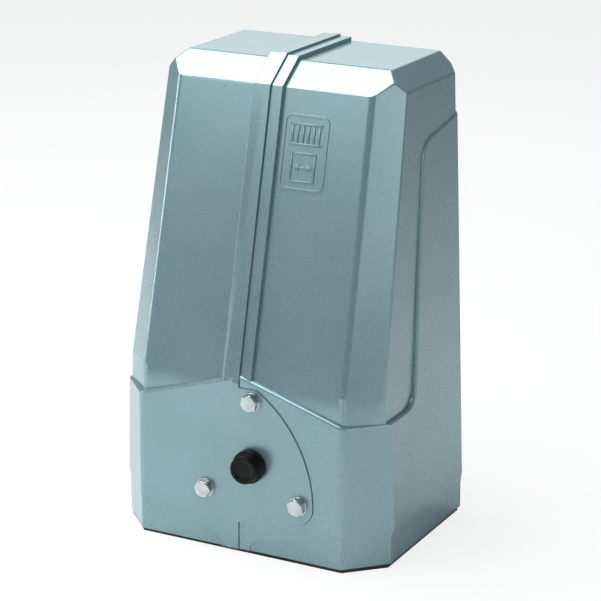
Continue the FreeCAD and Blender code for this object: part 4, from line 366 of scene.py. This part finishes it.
def on_badge(spot):
    """Whether a point lies on the badge."""
    return 14 * mm < spot.x < 71 * mm and spot.z > 370 * mm and spot.y < -30 * mm


def on_wing(spot):
    """Whether a point lies on the rim of a wing."""
    return abs(spot.x) > 118 * mm and spot.y > -18 * mm and spot.z < 446 * mm


def in_corner(spot):
    """Whether a point lies in the foot of a panel's rounded corner, above the ledge."""
    at_corner = 104 * mm < abs(spot.x) < 122 * mm and spot.y < -98 * mm
    return at_corner and 153 * mm < spot.z < 194 * mm


# %% Choose the edges of each pass
def upper_form(spot, length):
    """Edges between the large planes above the ledge, away from band and badge."""
    above_foot = spot.z - length / 2 > 180 * mm
    return (abs(spot.x) > 21.5 * mm and above_foot and length > shortest_edge
            and not on_badge(spot) and not on_wing(spot))


def band_edge(spot, length):
    """The outer left edge of the seam band, up the front, over the shoulder and top."""
    proud = 3 * mm
    if spot.z < shoulder_z + 1 * mm:
        panel = panel_foot_y + (spot.z - panel_foot_z) * panel_slope
        outside = spot.y < panel - proud
    else:
        shoulder = shoulder_z + (spot.y - shoulder_y) * shoulder_slope
        outside = spot.z > min(shoulder, roof_z) + proud
    return abs(spot.x - band_left) < 0.2 * mm and outside and length > shortest_edge


def fine_edge(spot, length):
    """Every other edge, but for the short ones at the foot of the rounded corners."""
    return not in_corner(spot)


def roll(piece, angle, wanted, width, segments):
    """Bevels the sharp edges that a test wants."""
    only(piece)
    bpy.ops.object.mode_set(mode="EDIT")
    count = pick_sharp(piece, angle, wanted)
    if count:
        bpy.ops.mesh.bevel(offset=width, segments=segments, clamp_overlap=False)
    bpy.ops.object.mode_set(mode="OBJECT")
    return count


# %% Roll the edges, the wide ones first
for half in (left_half, right_half):
    wide = roll(half, 14, upper_form, 2.0 * mm, 4)
    tight = roll(half, 60, band_edge, 1.3 * mm, 4)
    fine = roll(half, 32, fine_edge, 0.22 * mm, 2)
    only(half)
    bpy.ops.object.shade_smooth_by_angle(angle=math.radians(30))
    modify(half, "WEIGHTED_NORMAL", keep_sharp=True)
    print(half.name, "edges rolled: wide", wide, "tight", tight, "fine", fine,
          "faces", len(half.data.polygons))

# %% [markdown]
# ## The release knob
# The knob is a moulded cap with a wide collar and a narrower nose. It is turned here
# from half its section: the corners are rounded first, then the line is spun about
# the drive's axis.


# %% Helpers for turned pieces
def turned(name, profile, x, z, rounding, steps=72):
    """Spins a line of (radius, y) points about the Y axis through x and z.

    The line grows from one vertex by extrusion, its corners away from the axis are
    rounded, and the spin then turns it into the piece."""
    bpy.ops.object.select_all(action="DESELECT")
    bpy.ops.mesh.primitive_plane_add(size=1 * mm, location=(0, 0, 0))
    piece = bpy.context.active_object
    piece.name = name
    bpy.ops.object.mode_set(mode="EDIT")
    bpy.ops.mesh.select_mode(type="VERT")
    bpy.ops.mesh.select_all(action="SELECT")
    bpy.ops.mesh.merge(type="CENTER")
    radius, along = profile[0]
    bpy.ops.transform.translate(value=(x + radius, along, z))
    for (r0, y0), (r1, y1) in zip(profile, profile[1:]):
        bpy.ops.mesh.extrude_region_move(
            TRANSFORM_OT_translate={"value": (r1 - r0, y1 - y0, 0.0)})
    if rounding:
        bpy.ops.object.mode_set(mode="OBJECT")
        inner = [abs(point.co.x - x) > 0.01 * mm for point in piece.data.vertices]
        inner[0] = inner[-1] = False
        for point, chosen in zip(piece.data.vertices, inner):
            point.select = chosen
        bpy.ops.object.mode_set(mode="EDIT")
        bpy.ops.mesh.bevel(offset=rounding, segments=3, affect="VERTICES")
    bpy.ops.mesh.select_all(action="SELECT")
    bpy.ops.mesh.spin(steps=steps, angle=2 * math.pi, center=(x, 0, z), axis=(0, 1, 0))
    bpy.ops.mesh.select_all(action="SELECT")
    bpy.ops.mesh.remove_doubles(threshold=0.01 * mm)
    bpy.ops.mesh.normals_make_consistent(inside=False)
    bpy.ops.object.mode_set(mode="OBJECT")
    bpy.ops.object.shade_smooth_by_angle(angle=math.radians(35))
    settle(piece)
    return piece


def dress(piece, slot_name, body, *nodes):
    """Gives a finished piece its surface and its body, and hides the nodes it stands for.
    """
    piece.data.materials.clear()
    piece.data.materials.append(finishes[slot_name])
    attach(piece, body)
    if nodes:
        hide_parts(*nodes)


# %% Turn the knob
shaft_x = 15 * mm
shaft_z = 100 * mm
knob_line = [(0, -129.0), (9.5, -129.0), (10.5, -130.0), (14.6, -130.0), (14.6, -120.0),
             (17.5, -120.0), (17.5, -111.5), (8.4, -111.5), (8.4, -97.0), (0, -97.0)]
knob = turned("release_knob_cap", [(r * mm, y * mm) for r, y in knob_line],
              shaft_x, shaft_z, 0.9 * mm)
dress(knob, "black_plastic", "release_knob", "knob")
print("knob", len(knob.data.polygons), "faces")

# %% [markdown]
# ## The three flange bolts
# A hexagon head is a prism whose front corners are cut back by a cone, which leaves
# an arc on each flat. So the prism is cut to a turned blank with a coned front. One
# bolt is modelled, and the other two are copies with meshes of their own, each
# stopped at another angle, as bolts are when they come tight.

# %% Model one bolt and its washer
bolt_spots = [(15 * mm, 168 * mm), (-39 * mm, 65.5 * mm), (69 * mm, 65.5 * mm)]
head_width = 17 * mm
head_front = -119.2 * mm
head_back = -112.8 * mm
washer_back = -111.0 * mm
washer_radius = 10.2 * mm
washer_bore = 5.3 * mm
shank_radius = 4.9 * mm
shank_end = -86.5 * mm
shank_chamfer = 1.0 * mm
blank = turned("coned_blank", [(0, head_front), (7.9 * mm, head_front),
                               (washer_radius, head_front + 1.3 * mm),
                               (washer_radius, head_back), (0, head_back)], 0, 0, 0)
bpy.ops.mesh.primitive_cylinder_add(vertices=6, radius=head_width / math.sqrt(3),
                                    depth=head_back - head_front,
                                    location=(0, (head_front + head_back) / 2, 0),
                                    rotation=(math.radians(90), 0, 0))
bolt = bpy.context.active_object
bolt.name = "flange_bolt_0"
settle(bolt)
modify(bolt, "BOOLEAN", operation="INTERSECT", object=blank, solver="EXACT")
bpy.data.objects.remove(blank)
modify(bolt, "BEVEL", width=0.28 * mm, segments=2, limit_method="ANGLE",
       angle_limit=math.radians(20), use_clamp_overlap=False)
only(bolt)
bpy.ops.object.shade_smooth_by_angle(angle=math.radians(35))
shank = turned("bolt_shank", [(0, head_back), (shank_radius, head_back),
                              (shank_radius, shank_end - shank_chamfer),
                              (shank_radius - shank_chamfer, shank_end),
                              (0, shank_end)], 0, 0, 0, steps=32)
only(bolt)
shank.select_set(True)
bpy.ops.object.join()
washer = turned("flange_washer_0", [(washer_bore, washer_back),
                                    (washer_bore, head_back),
                                    (washer_radius, head_back),
                                    (washer_radius, washer_back),
                                    (washer_bore, washer_back)], 0, 0, 0.3 * mm)
print("bolt", len(bolt.data.polygons), "faces, washer", len(washer.data.polygons))


# %% Place three of each
def twin(piece, name):
    """A copy with a mesh of its own."""
    other = piece.copy()
    other.data = piece.data.copy()
    other.name = name
    bpy.context.scene.collection.objects.link(other)
    return other


bolts = [bolt] + [twin(bolt, f"flange_bolt_{i}") for i in (1, 2)]
washers = [washer] + [twin(washer, f"flange_washer_{i}") for i in (1, 2)]
head_angles = (12, 34, 51)
for spot, angle, each, ring in zip(bolt_spots, head_angles, bolts, washers):
    for thing, turn_by in ((each, angle), (ring, 0)):
        thing.rotation_euler = (0, math.radians(turn_by), 0)
        thing.location = (spot[0], 0, spot[1])
        settle(thing)
    dress(each, "zinc_steel", "housing", "flange_bolts")
    dress(ring, "zinc_steel", "housing", "flange_washers")
print("placed", len(bolts), "bolts")

# %% [markdown]
# ## The badge's relief
# The cast rim on the right panel frames a raised sign. This one is a plain picture of
# a sliding gate over a framed arrow, with no letters. Every bar is a flat plate,
# raised in edit mode, and all are then joined to one piece with rounded rims, which
# stands on the leaning panel with its back sunk a little way in.


# %% Raise the bars of the sign
sign_rise = 1.3 * mm


def raise_flat(across, up, wide, high):
    """Sizes the flat face that was just added and raises it to a plate."""
    made = bpy.context.active_object
    bpy.ops.object.mode_set(mode="EDIT")
    bpy.ops.mesh.select_all(action="SELECT")
    bpy.ops.transform.resize(value=(wide, high, 1.0),
                             center_override=(across, up, 0))
    bpy.ops.mesh.extrude_region_move(TRANSFORM_OT_translate={"value": (0, 0, sign_rise)})
    bpy.ops.mesh.select_all(action="SELECT")
    bpy.ops.mesh.normals_make_consistent(inside=False)
    bpy.ops.object.mode_set(mode="OBJECT")
    settle(made)
    return made


def bar(across, up, wide, high):
    """A raised bar, drawn flat at the world's origin."""
    bpy.ops.mesh.primitive_plane_add(size=1.0, location=(across, up, 0))
    return raise_flat(across, up, wide, high)


def arrowhead(across, up, size, turn):
    """A raised triangle, drawn flat and turned by an angle in degrees."""
    bpy.ops.mesh.primitive_circle_add(vertices=3, radius=0.6, fill_type="NGON",
                                      location=(across, up, 0),
                                      rotation=(0, 0, math.radians(turn)))
    return raise_flat(across, up, size, size)


gate_rails = [bar(0, up * mm, 36 * mm, 2.2 * mm) for up in (28, 8)]
gate_pickets = [bar(across * mm, 18 * mm, 2.2 * mm, 17.6 * mm)
                for across in (-15, -9, -3, 3, 9, 15)]
frame_level = [bar(0, up * mm, 28 * mm, 2.0 * mm) for up in (-1, -29)]
frame_upright = [bar(across * mm, -15 * mm, 2.0 * mm, 25.8 * mm) for across in (-13, 13)]
arrow = [bar(0, -15 * mm, 9 * mm, 2.2 * mm),
         arrowhead(-6.5 * mm, -15 * mm, 8 * mm, 90),
         arrowhead(6.5 * mm, -15 * mm, 8 * mm, -90)]
strokes = gate_rails + gate_pickets + frame_level + frame_upright + arrow
print("sign has", len(strokes), "strokes")

# %% Join them, round them and set them on the panel
only(strokes[0])
for stroke in strokes:
    stroke.select_set(True)
bpy.ops.object.join()
sign = bpy.context.active_object
sign.name = "badge_sign"
modify(sign, "BEVEL", width=0.45 * mm, segments=2, limit_method="ANGLE",
       angle_limit=math.radians(30), use_clamp_overlap=True)
lean = math.atan2(65.9, 292.0)
sunk = 0.25 * mm
sign.rotation_euler = (math.radians(90) - lean, 0, 0)
sign.location = (42 * mm, -52.87 * mm + sunk, 417 * mm)
settle(sign)
only(sign)
bpy.ops.object.shade_smooth_by_angle(angle=math.radians(35))
dress(sign, "silver_paint", "housing")
print("sign", len(sign.data.polygons), "faces")

# %% [markdown]
# ## The studio
# A plain pale floor keeps a soft shadow, and the surround looks white to the camera
# but lights the motor only faintly. A wide lamp overhead brightens the shoulder and
# the ledge, a narrow strip at the left draws the band's edge, and three weak ones
# open up the roof, the panels and the right side.

# %% Floor and surround
bpy.ops.mesh.primitive_plane_add(size=12.0, location=(0, 0, 0))
floor = bpy.context.active_object
floor.name = "studio_floor"
paper = bpy.data.materials.new("paper")
paper.use_nodes = True
tree = paper.node_tree
shader = tree.nodes["Principled BSDF"]
shader.inputs["Base Color"].default_value = (0.9, 0.9, 0.9, 1.0)
shader.inputs["Roughness"].default_value = 0.9
glow_share = 0.82
glow = add(tree, "Emission", {"Color": (1, 1, 1, 1), "Strength": 1.0})
seen = add(tree, "LightPath")
share = add(tree, "Math", {1: glow_share}, operation="MULTIPLY")
blend = add(tree, "MixShader")
wire(tree,
     (seen.outputs["Is Camera Ray"], share.inputs[0]),
     (share.outputs[0], blend.inputs["Fac"]),
     (shader.outputs["BSDF"], blend.inputs[1]),
     (glow.outputs["Emission"], blend.inputs[2]),
     (blend.outputs["Shader"], tree.nodes["Material Output"].inputs["Surface"]))
floor.data.materials.append(paper)

world = bpy.data.worlds.new("surround")
bpy.context.scene.world = world
world.use_nodes = True
tree = world.node_tree
dim = tree.nodes["Background"]
dim.inputs["Color"].default_value = (0.86, 0.93, 1.0, 1.0)
dim.inputs["Strength"].default_value = 0.30
bright = add(tree, "Background", {"Color": (1, 1, 1, 1), "Strength": 1.0})
seen = add(tree, "LightPath")
blend = add(tree, "MixShader")
wire(tree,
     (seen.outputs["Is Camera Ray"], blend.inputs["Fac"]),
     (dim.outputs["Background"], blend.inputs[1]),
     (bright.outputs["Background"], blend.inputs[2]),
     (blend.outputs["Shader"], tree.nodes["World Output"].inputs["Surface"]))
print("floor and surround ready")


# %% Lamps
def lamp(name, place, aimed_at, width, height, power):
    """A rectangular soft lamp aimed at a point."""
    data = bpy.data.lights.new(name, "AREA")
    data.shape = "RECTANGLE"
    data.size = width
    data.size_y = height
    data.energy = power
    thing = bpy.data.objects.new(name, data)
    bpy.context.scene.collection.objects.link(thing)
    thing.location = place
    thing.rotation_mode = "QUATERNION"
    thing.rotation_quaternion = (Vector(aimed_at) - Vector(place)).to_track_quat("-Z", "Y")
    thing.visible_camera = False


middle = (0.0, 0.0, 0.25)
upper_half = (0.0, 0.0, 0.45)
lamp("overhead", (-0.62, -0.32, 1.95), (-0.1, -0.1, 0.4), 2.0, 1.4, 50.0)
lamp("left_strip", (-2.2, -0.35, 0.65), middle, 0.30, 1.3, 9.0)
lamp("back_sky", (-1.0, 2.0, 1.25), upper_half, 1.6, 0.9, 5.0)
lamp("front_fill", (-0.95, -1.75, 1.15), upper_half, 1.2, 0.7, 5.0)
lamp("right_fill", (2.4, -0.9, 0.9), middle, 1.2, 1.2, 8.0)
bpy.context.scene.view_settings.view_transform = "Standard"
print("lamps ready")
